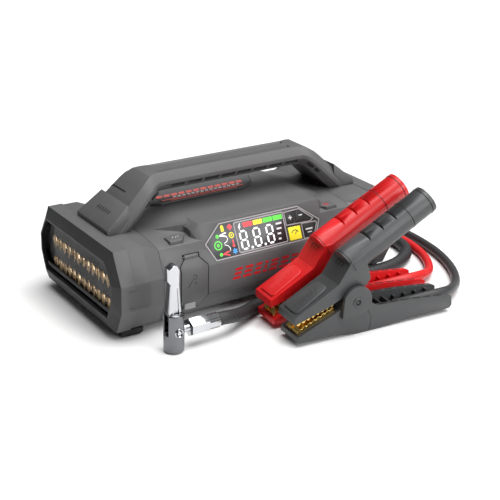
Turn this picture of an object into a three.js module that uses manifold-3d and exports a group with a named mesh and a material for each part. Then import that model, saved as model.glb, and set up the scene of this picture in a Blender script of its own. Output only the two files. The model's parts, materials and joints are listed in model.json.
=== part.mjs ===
// Jump starter pack with an air pump, a work lamp, two battery clamps and a tyre hose.
// Millimetres, +Z up, X along the handle, -Y towards the display. The origin is under the middle
// of the pack, on the surface it stands on.
import * as THREE from 'three';
import { mergeVertices } from 'three/addons/utils/BufferGeometryUtils.js';
import Module from 'manifold-3d';

const wasm = await Module();
wasm.setup();

// Driving dimensions
const GAP = 0.3; // clearance between touching pieces
const WALL = 2.6; // housing wall
const HALF_BODY = 96.7; // the housing's half length between the end frames
const HALF_FRAME = 137; // half length over the end frames' flat bands
const NOSE = 5; // how far the end frames' lips stand out beyond the bands
const BAND = 12.5; // width of the flat band round each end frame
const FOOT = 6.2; // height of the rubber feet
const SEAM = 22.2; // height of the joint between the shells
const HANDLE_TOP = 112.6;
const HANDLE_BEND = 77.7; // where the handle's straight part ends
const CONSOLE_TILT = Math.atan2(17.2, 8); // the display panel's slope
const DOOR = { x0: -80.6, x1: -56, hinge: [-60.1, 56.9] };
const HOSE = 11; // diameters of the hose and the clamp cables
const CABLE = 8;
const CLAMP_TURN = THREE.MathUtils.degToRad(-5.5);
const PIVOT = [52.5, 30]; // clamp pivot along and above the clamp

// Materials
const paint = (color, roughness = 0.6, metalness = 0) =>
  new THREE.MeshStandardMaterial({ color, roughness, metalness });
const greyShell = () => paint(0x66676a, 0.62);
const darkShell = () => paint(0x3c3d3f, 0.66);
const blackPart = () => paint(0x18191a, 0.6);
const rubber = () => paint(0x1d1d1e, 0.9);
const steel = () => paint(0xb8babd, 0.3, 1);
const chrome = () => paint(0xd8dadd, 0.12, 1);
const brass = () => paint(0xc99a3f, 0.35, 1);
const redPart = () => paint(0xc4191c, 0.45);
const clampBlack = () => paint(0x2b2c2e, 0.5);
const board = () => paint(0x1d5b3a, 0.55);

const group = new THREE.Group();

function add(name, geometry, material, parent = group) {
  const mesh = new THREE.Mesh(geometry, material);
  mesh.name = name;
  parent.add(mesh);
  return mesh;
}

// Booleans: closed geometry in, closed geometry out
function solid(geometry) {
  const bare = geometry.clone();
  bare.deleteAttribute('normal');
  bare.deleteAttribute('uv');
  const merged = mergeVertices(bare, 1e-4);
  return new wasm.Manifold(new wasm.Mesh({
    numProp: 3,
    vertProperties: new Float32Array(merged.attributes.position.array),
    triVerts: Uint32Array.from(merged.index.array),
  }));
}

function toGeometry(manifold) {
  const mesh = manifold.getMesh();
  const geometry = new THREE.BufferGeometry();
  geometry.setAttribute('position', new THREE.BufferAttribute(mesh.vertProperties, 3));
  geometry.setIndex(new THREE.BufferAttribute(mesh.triVerts, 1));
  geometry.computeVertexNormals();
  return geometry;
}

const join = (first, ...rest) => rest.reduce((sum, g) => sum.add(solid(g)), solid(first));
const cut = (base, ...tools) => tools.reduce((left, g) => left.subtract(solid(g)), base);
const shape2d = (points) => new THREE.Shape(points.map(([a, b]) => new THREE.Vector2(a, b)));

function box(x0, x1, y0, y1, z0, z1) {
  const g = new THREE.BoxGeometry(x1 - x0, y1 - y0, z1 - z0);
  return g.translate((x0 + x1) / 2, (y0 + y1) / 2, (z0 + z1) / 2);
}

// Prisms of an outline: prismX takes (y, z) points, prismY takes (x, z) points, prismZ (x, y)
function prism(points, depth, basisX, basisY, basisZ, offset) {
  const outline = points instanceof THREE.Shape ? points : shape2d(points);
  const g = new THREE.ExtrudeGeometry(outline, { depth, bevelEnabled: false, curveSegments: 8 });
  const turn = new THREE.Matrix4().makeBasis(basisX, basisY, basisZ).setPosition(offset);
  return g.applyMatrix4(turn);
}
const V = (x, y, z) => new THREE.Vector3(x, y, z);
const prismX = (points, x0, x1) => prism(points, x1 - x0, V(0, 1, 0), V(0, 0, 1), V(1, 0, 0), V(x0, 0, 0));
const prismY = (points, y0, y1) => prism(points, y1 - y0, V(1, 0, 0), V(0, 0, 1), V(0, -1, 0), V(0, y1, 0));
const prismZ = (points, z0, z1) => prism(points, z1 - z0, V(1, 0, 0), V(0, 1, 0), V(0, 0, 1), V(0, 0, z0));

// A cylinder along one axis between two stations; centre gives the other two coordinates
function rod(axis, radius, from, to, centre, sides = 16, endRadius = radius) {
  const g = new THREE.CylinderGeometry(endRadius, radius, to - from, sides);
  const middle = (from + to) / 2;
  if (axis === 'x') return g.rotateZ(-Math.PI / 2).translate(middle, centre[0], centre[1]);
  if (axis === 'y') return g.translate(centre[0], middle, centre[1]);
  return g.rotateX(Math.PI / 2).translate(centre[0], centre[1], middle);
}

// Skin through rings of points that all turn the same way round the direction of travel
function loft(rings) {
  const count = rings[0].length;
  const index = [];
  for (let r = 0; r + 1 < rings.length; r += 1) {
    for (let j = 0; j < count; j += 1) {
      const a = r * count + j;
      const b = r * count + ((j + 1) % count);
      index.push(a, b, b + count, a, b + count, a + count);
    }
  }
  const last = (rings.length - 1) * count;
  for (let j = 1; j + 1 < count; j += 1) {
    index.push(0, j + 1, j);
    index.push(last, last + j, last + j + 1);
  }
  const geometry = new THREE.BufferGeometry();
  geometry.setAttribute('position', new THREE.Float32BufferAttribute(rings.flat(2), 3));
  geometry.setIndex(index);
  return geometry;
}

const sectionAt = (x, points) => points.map(([y, z]) => [x, y, z]);
const stations = (...list) => loft(list.map(([x, points]) => sectionAt(x, points)));
const mirrored = (half) => [...half, ...half.filter(([y]) => y > 0).reverse().map(([y, z]) => [-y, z])];

// Moves every edge of a convex outline inwards by the same distance
function inset(points, distance) {
  const edges = points.map(([ax, ay], i) => {
    const [bx, by] = points[(i + 1) % points.length];
    const length = Math.hypot(bx - ax, by - ay);
    const dx = (bx - ax) / length;
    const dy = (by - ay) / length;
    return { x: ax - dy * distance, y: ay + dx * distance, dx, dy };
  });
  return edges.map((edge, i) => {
    const before = edges[(i + edges.length - 1) % edges.length];
    const cross = before.dx * edge.dy - before.dy * edge.dx;
    const t = ((edge.x - before.x) * edge.dy - (edge.y - before.y) * edge.dx) / cross;
    return [before.x + before.dx * t, before.y + before.dy * t];
  });
}

// Sections, from the bottom edge at the rear up over the crown and down the front
const bodySection = mirrored([[58.5, 6.5], [66, 22.2], [66, 46.6], [56.6, 66.8], [50, 68.6], [38, 70],
  [24, 70.8], [0, 71.3]]);
const frameSection = mirrored([[61, 6.5], [70, 26.4], [70, 48.5], [60, 68.1], [57, 74], [40, 74.05],
  [24, 74.1], [0, 74.15]]);
const lipSection = mirrored([[55, 18.4], [62, 34], [62, 48.5], [54.5, 60.5], [51.5, 64.5], [38, 64.55],
  [24, 64.6], [0, 64.65]]);

// The crown's raised middle slopes down to the housing at both ends
const crownFull = [[54, 60], [51.5, 72.6], [41, 76.6], [24, 77.8], [0, 78.9], [-30, 78.6], [-41, 76.5],
  [-50, 60]];
const crownEnd = [[54, 60], [51.5, 66], [41, 68], [24, 69.4], [0, 70], [-10, 69.8], [-20, 68.8], [-30, 60]];

function crownBlock(shrink) {
  const pull = [-1, -1, 0, 0, 0, 0, 1, 1];
  const lower = (points) => points.map(([y, z], i) => [y + pull[i] * shrink, z - shrink]);
  return stations([-92, lower(crownEnd)], [-58, lower(crownFull)], [64, lower(crownFull)],
    [92, lower(crownEnd)]);
}

// The display console stands out of the crown's front edge and runs back into it
const consoleFull = [[-8, 60], [-8, 77.5], [-30, 78.4], [-47, 78.4], [-51.4, 78], [-59.8, 60]];
const consoleEnd = [[-8, 60], [-8, 72], [-30, 74], [-45, 74.5], [-49.6, 73.6], [-51, 60]];

function consoleBlock(shrink) {
  const lower = (points) => points.map(([y, z], i) => [y + (i > 3 ? 1.12 * shrink : 0), z - shrink]);
  return stations([-63 + shrink, lower(consoleEnd)], [-56 + shrink, lower(consoleFull)],
    [64 - shrink, lower(consoleFull)], [70 - shrink, lower(consoleEnd)]);
}

// Display panel: local x along the pack, local y up the slope, local z out of the panel
const panel = new THREE.Group();
panel.position.set(0, -66, 46.6);
panel.rotation.x = CONSOLE_TILT;
panel.updateMatrix();
group.add(panel);
const onPanel = (geometry) => geometry.applyMatrix4(panel.matrix);
const overlayOutline = [[-54.5, 18.3], [-46.9, 3], [54.6, 3], [62, 17.8], [42, 32.8], [-37.8, 32.8]];
const keys = {
  key_plus: [[27.8, 19.7], [35.6, 19.3], [37.2, 29.2], [27.8, 28.6]],
  key_minus: [[37, 19.2], [51.6, 18.6], [53.8, 20], [42, 29.3], [38.7, 29.3]],
  key_mode: [[27.8, 5], [40.2, 4.8], [40.4, 16], [27.9, 16.3]],
  key_pump: [[43.3, 5], [52.1, 5], [57.3, 15], [56.5, 15.9], [43.3, 16.4]],
};

// Power and light buttons on the crown, mirror images of each other
const buttonOutline = (side) => {
  const right = [[66.4, -45.7], [72.9, -54.2], [84.4, -53.7], [83.9, -43.2], [67.9, -43.2]];
  return side > 0 ? right : right.map(([x, y]) => [-x, y]).reverse();
};

// Accessory door: follows the housing's front from its pin down to the lower band
const doorOutline = [[-60.4, 55], [-64.4, 46.4], [-64.4, 22.6], [-60.6, 14.6], [-62.5, 13.5],
  [-66.2, 22], [-66.2, 46.7], [-61.6, 56.6]];
const doorPlan = (margin) => {
  const x0 = DOOR.x0 - margin;
  const x1 = DOOR.x1 + margin;
  return [[x0, 20], [x0 + 4, 13.3 - margin], [x1 - 7, 13.3 - margin], [x1, 23],
    [x1, 49 + 2 * margin],
    [x1 - 7 + 2 * margin, 56 + 2 * margin], [x0 + 5 - 2 * margin, 56 + 2 * margin], [x0, 51 + 2 * margin]];
};

function makeShells() {
  const outer = solid(stations([-HALF_BODY, bodySection], [HALF_BODY, bodySection]))
    .add(solid(consoleBlock(0))).add(solid(crownBlock(0)));
  const inner = solid(stations([-HALF_BODY - 1, inset(bodySection, WALL)],
    [HALF_BODY + 1, inset(bodySection, WALL)])).add(solid(consoleBlock(WALL)))
    .add(solid(crownBlock(WALL)));
  const shell = outer.subtract(inner);
  const recess = onPanel(prismZ(inset(overlayOutline, -GAP), -1.5, 3));
  const window = onPanel(prismZ(inset(overlayOutline, 1.6), -9, 1));
  const doorway = prismY(doorPlan(GAP), -70, -52);
  const doorHinge = rod('x', 2.7, DOOR.x0 + 3.5, DOOR.x1 - 5.5, DOOR.hinge, 16);
  const buttons = [-1, 1].map((side) => prismZ(inset(buttonOutline(side), -GAP), 62, 90));
  const upper = cut(shell, recess, window, doorway, doorHinge, ...buttons,
    box(-150, 150, -80, 80, 0, SEAM + GAP / 2));
  const lower = cut(shell, doorway, box(-150, 150, -80, 80, SEAM - GAP / 2, 90));
  add('upper_shell', toGeometry(upper), greyShell());
  add('lower_shell', toGeometry(lower), greyShell());
}

// End frames: a convex nose with a wide lip, a flat band and a shoulder that runs into the housing
const shoulder = inset(frameSection, 0.8);
const frameOuter = (grow) => stations([-HALF_FRAME - NOSE, inset(lipSection, -1.2)],
  [-HALF_FRAME, inset(frameSection, -grow)], [-HALF_FRAME + BAND, inset(frameSection, -grow)],
  [-HALF_FRAME + BAND + 0.8, inset(shoulder, -grow)], [-111, inset(shoulder, -grow)],
  [-HALF_BODY - GAP, inset(bodySection, -grow)]);

function makeFrame(side) {
  const flip = (geometry) => (side > 0 ? geometry.rotateZ(Math.PI) : geometry);
  const hollow = stations([-HALF_FRAME - 1.4, inset(lipSection, -2)], [-HALF_FRAME + 4,
    inset(frameSection, 5)], [-112, inset(shoulder, 3.4)], [-HALF_BODY + 1, inset(bodySection, WALL)]);
  const mouth = stations([-HALF_FRAME - NOSE - 1, lipSection], [-HALF_FRAME, lipSection]);
  const frontPanel = box(-130.2, -104.5, -72, -69, 28.5, 44.5);
  const rearPanel = box(-130.2, -104.5, 69, 72, 28.5, 44.5);
  const frame = cut(solid(frameOuter(0)), hollow, mouth, frontPanel, rearPanel);
  add(side < 0 ? 'left_end_frame' : 'right_end_frame', flip(toGeometry(frame)), greyShell());
}

// Carry handle: an eight-sided section swept along the side view of the handle. Each stop on the
// path is [x, z, how much wider than the bar on each side].
const handleSection = (grow, wide) => [[-16 - wide - grow, -9.5], [-11 - wide - grow, -15.6 - grow],
  [11 + wide + grow, -15.6 - grow], [16 + wide + grow, -9.5], [16 + wide + grow, -6.5],
  [10.5 + wide, grow], [-10.5 - wide, grow], [-16 - wide - grow, -6.5]];

function sweepHandle(path, grow) {
  const rings = path.map(([x, z, wide], i) => {
    const [px, pz] = path[Math.max(i - 1, 0)];
    const [nx, nz] = path[Math.min(i + 1, path.length - 1)];
    const inDir = i > 0 ? new THREE.Vector2(x - px, z - pz).normalize() : null;
    const outDir = i + 1 < path.length ? new THREE.Vector2(nx - x, nz - z).normalize() : null;
    const along = (inDir ?? outDir).clone().add(outDir ?? inDir).normalize();
    const stretch = 1 / along.dot(inDir ?? outDir);
    return handleSection(grow, wide)
      .map(([y, n]) => [x - along.y * n * stretch, y, z + along.x * n * stretch]);
  });
  return loft(rings);
}

const leftLeg = [[-130, 67.4, 11.5], [-101, 93.8, 8.8], [-91, 103.2, 7.3], [-85.5, 107.8, 6],
  [-HANDLE_BEND - 1.8, HANDLE_TOP - 1.1, 3.2], [-HANDLE_BEND + 4.2, HANDLE_TOP, 1], [-66, HANDLE_TOP, 0]];
const handlePath = [...leftLeg, ...leftLeg.map(([x, z, wide]) => [-x, z, wide]).reverse()];

function makeHandle() {
  const below = box(-150, 150, -80, 80, -5, SEAM + 48.6);
  const slots = [];
  for (let k = 0; k < 8; k += 1) {
    const x = -60 + k * 16.5;
    slots.push(box(x, x + 13.5, -17, -12.5, 99.2, 102.6), box(x, x + 13.5, 12.5, 17, 99.2, 102.6));
  }
  const frameTool = frameOuter(0).translate(0, 0, GAP);
  const otherFrame = frameOuter(0).rotateZ(Math.PI).translate(0, 0, GAP);
  const crown = stations([-HALF_BODY - 1, bodySection], [HALF_BODY + 1, bodySection]).translate(0, 0, GAP);
  const handle = cut(solid(sweepHandle(handlePath, 0)), below, frameTool, otherFrame, crown, ...slots);
  add('handle', toGeometry(handle), greyShell());
}

// Socket blocks that hold the handle's two feet on the end frames
function makeSocket(side) {
  const leg = sweepHandle(handlePath, GAP);
  const base = [[-125.4, -26.4, 72], [-103, -26, 72], [-103, 26, 72], [-125.4, 26.4, 72]];
  const top = [[-124.9, -26.4, 77.8], [-104.5, -22.4, 94.3], [-104.5, 22.4, 94.3], [-124.9, 26.4, 77.8]];
  const wedge = loft([base, top]);
  const block = cut(solid(side < 0 ? wedge : wedge.rotateZ(Math.PI)), leg,
    frameOuter(0).rotateZ(side < 0 ? 0 : Math.PI).translate(0, 0, GAP),
    stations([-HALF_BODY - 1, bodySection], [HALF_BODY + 1, bodySection]).translate(0, 0, GAP));
  const pieces = block.decompose();
  const largest = pieces.reduce((a, b) => (a.volume() > b.volume() ? a : b));
  add(side < 0 ? 'handle_socket_left' : 'handle_socket_right', toGeometry(largest), darkShell());
}

// Work lamp in the left nose
function makeLamp() {
  const lensX = -HALF_FRAME - 1.1;
  add('lamp_lens', stations([lensX, inset(lipSection, -1)], [lensX + 1.6, inset(lipSection, -1)]),
    paint(0xc9ccd0, 0.05));
  const back = inset(lipSection, 1.5);
  const cups = [];
  for (let column = 0; column < 12; column += 1) {
    for (const z of [28.5, 47]) {
      const y = -46.75 + column * 8.5;
      cups.push(rod('x', 3.6, lensX + 1.8, lensX + 9.5, [y, z], 8, 2.2));
    }
  }
  const dish = cut(solid(stations([lensX + 2.2, back], [lensX + 8.2, back])), ...cups);
  add('lamp_reflector', toGeometry(dish), paint(0x2e2c2a, 0.3));
  const ledBoardX = lensX + 8.5;
  const chips = [];
  for (let column = 0; column < 12; column += 1) {
    for (const z of [28.5, 47]) {
      const y = -46.75 + column * 8.5;
      chips.push(box(ledBoardX - 1.2, ledBoardX + 0.5, y - 1, y + 1, z - 1, z + 1));
    }
  }
  const plate = stations([ledBoardX, back], [ledBoardX + 1.6, back]);
  add('led_board', toGeometry(join(plate, ...chips)), paint(0xe9d9b0, 0.6));
}

// The right end is a recessed plate that the hose and both cables come out of
const PORT_Z = 26.5;
const ports = { hose: 16, red: 33, black: 48 };
function makeRightCover() {
  const plate = solid(stations([125, inset(frameSection, 8)], [128, inset(frameSection, 8)]));
  const holes = Object.values(ports).map((y) => rod('x', 5.2, 120, 132, [y, PORT_Z], 14));
  add('right_end_cover', toGeometry(cut(plate, ...holes)), darkShell());
  const flange = [[0, 0], [4.6, 0], [4.6, 6.4], [7, 6.4], [7, 9.2], [6.6, 10.4]];
  const turned = (profile, y) => {
    const points = profile.map(([r, h]) => new THREE.Vector2(r, h));
    return new THREE.LatheGeometry(points, 14).rotateZ(-Math.PI / 2).translate(122, y, PORT_Z);
  };
  const boot = [...flange, [5.4, 28], [0, 28]];
  add('red_cable_gland', turned(boot, ports.red), redPart());
  add('black_cable_gland', turned(boot, ports.black), blackPart());
  add('hose_fitting', turned([...flange, [6.6, 17], [5.6, 20], [0, 20]], ports.hose), steel());
}

function makeDisplay() {
  const slab = solid(prismZ(overlayOutline, -1.2, -0.2));
  const holes = Object.values(keys).map((outline) => prismZ(inset(outline, -GAP), -3, 1));
  add('display_overlay', toGeometry(cut(slab, ...holes)), paint(0x1a1b1d, 0.25), panel);
  for (const [name, outline] of Object.entries(keys)) {
    add(name, prismZ(outline, -2.6, 0.15), paint(name === 'key_mode' ? 0xe8cf2a : 0x232426, 0.5), panel);
  }
  const lcd = prismZ([[-26, 5.2], [25.5, 5.2], [25.5, 29.8], [-26, 29.8]], -5.5, -1.5);
  const card = prismZ([[-42, 6], [52, 6], [52, 15], [38, 29], [-36, 29], [-42, 19]], -7.1, -5.4);
  add('display_module', toGeometry(join(lcd, card)), board(), panel);
}

function makeButtons() {
  add('power_button', prismZ(buttonOutline(1), 63.4, 70.4), greyShell());
  add('light_button', prismZ(buttonOutline(-1), 63.4, 70.4), greyShell());
}

function makeLabelPlate() {
  const plan = [[-60, 0.5], [22, 0.5], [33, 5], [41, 14], [47, 26], [43, 31], [-58, 31], [-65, 24],
    [-66, 9]];
  const slab = cut(solid(prismZ(plan, 60, 90)), crownBlock(0).translate(0, 0, GAP));
  const plate = slab.intersect(solid(crownBlock(0).translate(0, 0, 1.5)));
  add('label_plate', toGeometry(plate), paint(0x55565a, 0.5));
}

function makeDoor() {
  const side = solid(prismX(doorOutline, DOOR.x0, DOOR.x1));
  const front = side.intersect(solid(prismY(doorPlan(0), -75, -50)));
  const barrel = rod('x', 2, DOOR.x0 + 5, DOOR.x1 - 7, DOOR.hinge, 12);
  const tab = prismX([[-61.4, 17], [-63.2, 13.2], [-64.6, 13.4], [-64.6, 18.5]], -77, -67);
  const pinHole = rod('x', 1.05, DOOR.x0 - 2, DOOR.x1 + 2, DOOR.hinge, 10);
  const door = cut(front.add(solid(barrel)).add(solid(tab)), pinHole);
  add('accessory_door', toGeometry(door), greyShell());
  add('door_hinge_pin', rod('x', 0.95, DOOR.x0 + 4.6, DOOR.x1 - 6.6, DOOR.hinge, 10), steel());
  const tray = cut(solid(box(-79.5, -57, -60.8, -36, 24, 54)), box(-78, -58.5, -62, -37.5, 25.5, 52.5));
  const skin = stations([-HALF_BODY, inset(bodySection, WALL + GAP)], [HALF_BODY,
    inset(bodySection, WALL + GAP)]);
  const swing = rod('x', 3.4, -90, -50, DOOR.hinge, 12);
  add('accessory_pocket', toGeometry(cut(tray.intersect(solid(skin)), swing)), blackPart());
}

function makeFeet() {
  for (const [name, sx, sy] of [['foot_front_left', -1, -1], ['foot_front_right', 1, -1],
    ['foot_rear_left', -1, 1], ['foot_rear_right', 1, 1]]) {
    const lower = [[-8, -6.5], [8, -6.5], [8, 6.5], [-8, 6.5]].map(([x, y]) => [x, y, 0]);
    const upper = [[-9.5, -8], [9.5, -8], [9.5, 8], [-9.5, 8]];
    const pad = loft([lower, upper.map(([x, y]) => [x, y, 2]), upper.map(([x, y]) => [x, y, FOOT])]);
    add(name, pad, rubber()).position.set(sx * 122, sy * 52.5, 0);
  }
}

// Inside: battery packs on a tray, main board, air pump
function makeInternals() {
  const tray = cut(solid(box(-52, 22, -38, 38, 9.5, 20)), box(-50.4, 20.4, -36.4, 36.4, 11, 21));
  add('battery_tray', toGeometry(tray), blackPart());
  add('battery_pack_lower', box(-50, 20, -36, 36, 11.3, 27), paint(0x2457a6, 0.4));
  add('battery_pack_upper', box(-50, 20, -36, 36, 27.4, 43), paint(0x2457a6, 0.4));
  const card = box(-48, 18, -34, 34, 47, 48.6);
  const parts = [box(-40, -22, -20, -4, 48, 60), box(-16, -2, -22, -6, 48, 58),
    rod('z', 6, 48, 64, [8, 18], 14), rod('z', 6, 48, 64, [-8, 18], 14), box(-42, -20, 6, 30, 48, 54)];
  add('main_board', toGeometry(join(card, ...parts)), board());
}

const PUMP = { y: 14, z: 30, crankY: -6.6, throw: 6 };
function gear(teeth, inner, outer, phase) {
  const points = [];
  for (let k = 0; k < teeth; k += 1) {
    for (const [part, radius] of [[0.22, inner], [0.38, outer], [0.62, outer], [0.78, inner]]) {
      const angle = ((k + part) / teeth + phase) * 2 * Math.PI;
      points.push([radius * Math.cos(angle), radius * Math.sin(angle)]);
    }
  }
  return points;
}

function makePump() {
  const { y, z, crankY } = PUMP;
  const motor = join(rod('x', 15, 27, 70, [y, z], 20), rod('x', 5, 68, 72, [y, z], 14));
  add('pump_motor', toGeometry(motor), steel());
  const mesh = new THREE.Group();
  group.add(mesh);
  const pinion = prismX(gear(9, 3.4, 5.2, 0.5 / 9), 0, 7);
  add('motor_pinion', pinion, brass(), mesh).position.set(72.6, y, z);
  const wheel = join(prismX(gear(30, 14.6, 16.4, 0.5 / 30), 0, 5), rod('x', 2.2, 4, 7, [PUMP.throw, 0], 10));
  add('crank_gear', toGeometry(wheel), steel(), mesh).position.set(73.6, crankY, z);
}

function makePiston() {
  const crankX = 81.5;
  const centreY = PUMP.crankY;
  const ring = cut(solid(rod('x', 9.6, crankX, crankX + 4, [centreY, PUMP.z], 18)),
    rod('x', 7.4, crankX - 1, crankX + 5, [centreY, PUMP.z], 16));
  const bar = box(crankX, crankX + 4, centreY - 22, centreY - 8.8, PUMP.z - 2.5, PUMP.z + 2.5);
  add('connecting_rod', toGeometry(ring.add(solid(bar))), steel());
  const pistonTop = centreY - 31;
  add('piston', rod('y', 9.6, pistonTop, pistonTop + 8.7, [crankX + 2, PUMP.z], 20), paint(0x8d9093, 0.4, 1));
  const sleeve = cut(solid(rod('y', 12.4, centreY - 47, centreY - 21, [crankX + 2, PUMP.z], 20)),
    rod('y', 9.8, centreY - 43, centreY - 20, [crankX + 2, PUMP.z], 20));
  add('pump_cylinder', toGeometry(sleeve), paint(0xa7aaad, 0.45, 1));
}

// Battery clamps, modelled along local x from the jaw tip, y across, z up
const handleFrom = [48, 58.5];
const handleTo = [124, 101];
function teeth(from, to, count, height) {
  const points = [from];
  const dx = (to[0] - from[0]) / count;
  const dz = (to[1] - from[1]) / count;
  for (let k = 0; k < count; k += 1) {
    points.push([from[0] + dx * (k + 0.5), from[1] + dz * (k + 0.5) + height]);
    points.push([from[0] + dx * (k + 1), from[1] + dz * (k + 1)]);
  }
  return points;
}

function makeClamp(colour, plastic, x, y) {
  const clamp = new THREE.Group();
  clamp.position.set(x, y, 0);
  clamp.rotation.z = CLAMP_TURN;
  group.add(clamp);
  const [pu, pw] = PIVOT;
  const pinHole = rod('y', 3.3, -20, 20, PIVOT, 14);
  const armSide = [[0, 4], [20, 3.4], [42, 2.8], [54, 0.2], [68, 0], [84, 0.8], [107, 2.4], [150, 3.2],
    [152, 5.5], [151, 14], [146, 16], [108, 20], [74, 21.5], [62, 30], [52, 37], [44, 34], [38, 24.3],
    [34, 22.6], [0, 8.5]];
  const cheek = rod('y', 9.5, -13, 13, PIVOT, 20);
  const arm = cut(join(prismY(armSide, -13, 13), cheek), box(38, 70, -9.8, 9.8, 7, 50),
    box(69, 160, -9.8, 9.8, 6.6, 30), pinHole,
    prismY([[2, 6.8], [36, 21.4], [36, 30], [2, 16]], -8.6, 8.6));
  add(`${colour}_lower_arm`, toGeometry(arm), plastic(), clamp);

  const jawSide = [[-3, 19.6], [28, 29.2], [39, 34.2], [45, 41.2], [54, 42], [62, 41.5], [66, 47],
    [60, 66], [47, 64.5], [35.7, 46.9], [-3, 25.8]];
  const length = Math.hypot(handleTo[0] - handleFrom[0], handleTo[1] - handleFrom[1]);
  const grip = new THREE.CylinderGeometry(12.2, 12.6, length, 20);
  grip.scale(0.93, 1, 1.04);
  grip.rotateX(Math.PI / 2);
  const tilt = Math.atan2(handleTo[0] - handleFrom[0], handleTo[1] - handleFrom[1]);
  grip.rotateY(tilt);
  grip.translate((handleFrom[0] + handleTo[0]) / 2, 0, (handleFrom[1] + handleTo[1]) / 2);
  const ear = [[44, 26], [61, 26], [63, 44], [44, 44]];
  const ears = [[-9.4, -6.4], [6.4, 9.4]].map(([a, b]) => solid(prismY(ear, a, b))
    .add(solid(rod('y', 9, a, b, PIVOT, 20))));
  const upper = solid(prismY(jawSide, -12.6, 12.6)).add(solid(grip)).add(ears[0]).add(ears[1]);
  const upperArm = cut(upper, pinHole, prismY([[1, 18], [1, 23.4], [36, 35.4], [36, 30]], -8.6, 8.6));
  add(`${colour}_upper_arm`, toGeometry(upperArm), plastic(), clamp);

  const lowJaw = [...teeth([35.6, 25.4], [2.4, 10.9], 8, 1.9), [2.4, 7.3], [35.6, 21.6]];
  add(`${colour}_lower_jaw`, prismY(lowJaw, -8.3, 8.3), brass(), clamp);
  const highJaw = [...teeth([1.4, 17.2], [35.6, 29.4], 8, -2.2), [35.6, 34.8], [1.4, 23.1]];
  add(`${colour}_upper_jaw`, prismY(highJaw, -8.3, 8.3), brass(), clamp);

  const badge = new THREE.Shape();
  badge.moveTo(pu - 13.5, pw - 12);
  badge.lineTo(pu - 7, pw - 13);
  badge.quadraticCurveTo(pu + 12, pw - 12.5, pu + 13.5, pw - 2);
  badge.absarc(pu, pw, 13.6, -0.15, Math.PI * 0.86, false);
  badge.closePath();
  const bolt = join(rod('y', 3, -15, 15, PIVOT, 14), prismY(badge, -16.5, -13.3), prismY(badge, 13.3, 16.5));
  add(`${colour}_pivot_bolt`, toGeometry(bolt), plastic(), clamp);
  const coil = cut(solid(rod('y', 6.6, -5.8, 5.8, PIVOT, 16)), rod('y', 3.7, -7, 7, PIVOT, 14));
  add(`${colour}_spring`, toGeometry(coil), steel(), clamp);
}

// Free cords: plain tubes along hand-laid routes
function cord(name, points, diameter, steps, sides, material) {
  const curve = new THREE.CatmullRomCurve3(points.map(([x, y, z]) => V(x, y, z)), false, 'centripetal');
  const section = [];
  for (let k = 0; k < sides; k += 1) {
    const angle = ((k + 0.5) / sides) * 2 * Math.PI;
    section.push([(diameter / 2) * Math.cos(angle), (diameter / 2) * Math.sin(angle)]);
  }
  add(name, new THREE.ExtrudeGeometry(shape2d(section), { steps, extrudePath: curve }), material);
}

const hoseRoute = [[142.6, 16, 26.5], [147, 16, 26.4], [154, 14.6, 24.6], [161.6, 10.8, 20.9],
  [168.6, 4.6, 16.1], [174.4, -4, 11.6], [178.8, -14, 8.2], [181.3, -24, 6.3], [181.5, -34.4, 5.7],
  [178.6, -44.4, 5.7], [172.8, -53.2, 5.7], [164.6, -60.4, 5.7], [154.4, -66, 5.7], [143, -69.8, 5.7],
  [130, -71.5, 5.7], [115, -71.6, 5.7], [95, -71.2, 5.7], [72, -70.7, 5.7], [48, -70.4, 5.7],
  [25, -70.4, 5.7], [8, -71.2, 5.7], [-5, -73, 5.8], [-15, -76, 6.1], [-24, -80.4, 7],
  [-33, -85.6, 8.9], [-42, -90.8, 11.5], [-51, -94.9, 14], [-60, -96.8, 15.8], [-66.4, -97, 16]];
const redRoute = [[150.6, 33, 26.5], [155, 33, 26.4], [163, 32, 24.7], [172, 29, 20.4], [180, 23.6, 15],
  [186, 15.6, 10.2], [190, 5.4, 6.5], [192, -6, 4.6], [192.3, -18, 4.2], [191.8, -30, 4.2],
  [190.2, -42, 4.2], [187, -55.4, 4.2], [181.6, -69.4, 4.2], [173.4, -83, 4.4], [162.6, -95, 5.4],
  [150.4, -103.6, 8.2], [138.4, -108.8, 11.2], [126, -109.9, 12.3], [112, -108.6, 12], [98, -107.2, 11.6],
  [80, -105.5, 11.4]];
const blackRoute = [[150.6, 48, 26.5], [155, 48, 26.4], [164, 47.2, 24.6], [174, 44.4, 20.2],
  [184, 39, 15], [192.6, 31, 10.4], [199.2, 20.6, 6.7], [203.4, 8.4, 4.7], [205.4, -5, 4.2],
  [205.8, -19, 4.2], [205, -34, 4.2], [203, -50, 4.2], [199.4, -67, 4.2], [193.6, -84, 4.2],
  [185.4, -101, 4.2], [174.8, -116.6, 4.4], [161.6, -129.8, 5.8], [147.6, -139.6, 8.8],
  [135, -145.2, 11.6], [123, -145.7, 12.4], [108, -144.1, 12], [94, -142.7, 11.6], [77, -141.1, 11.4]];

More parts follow.
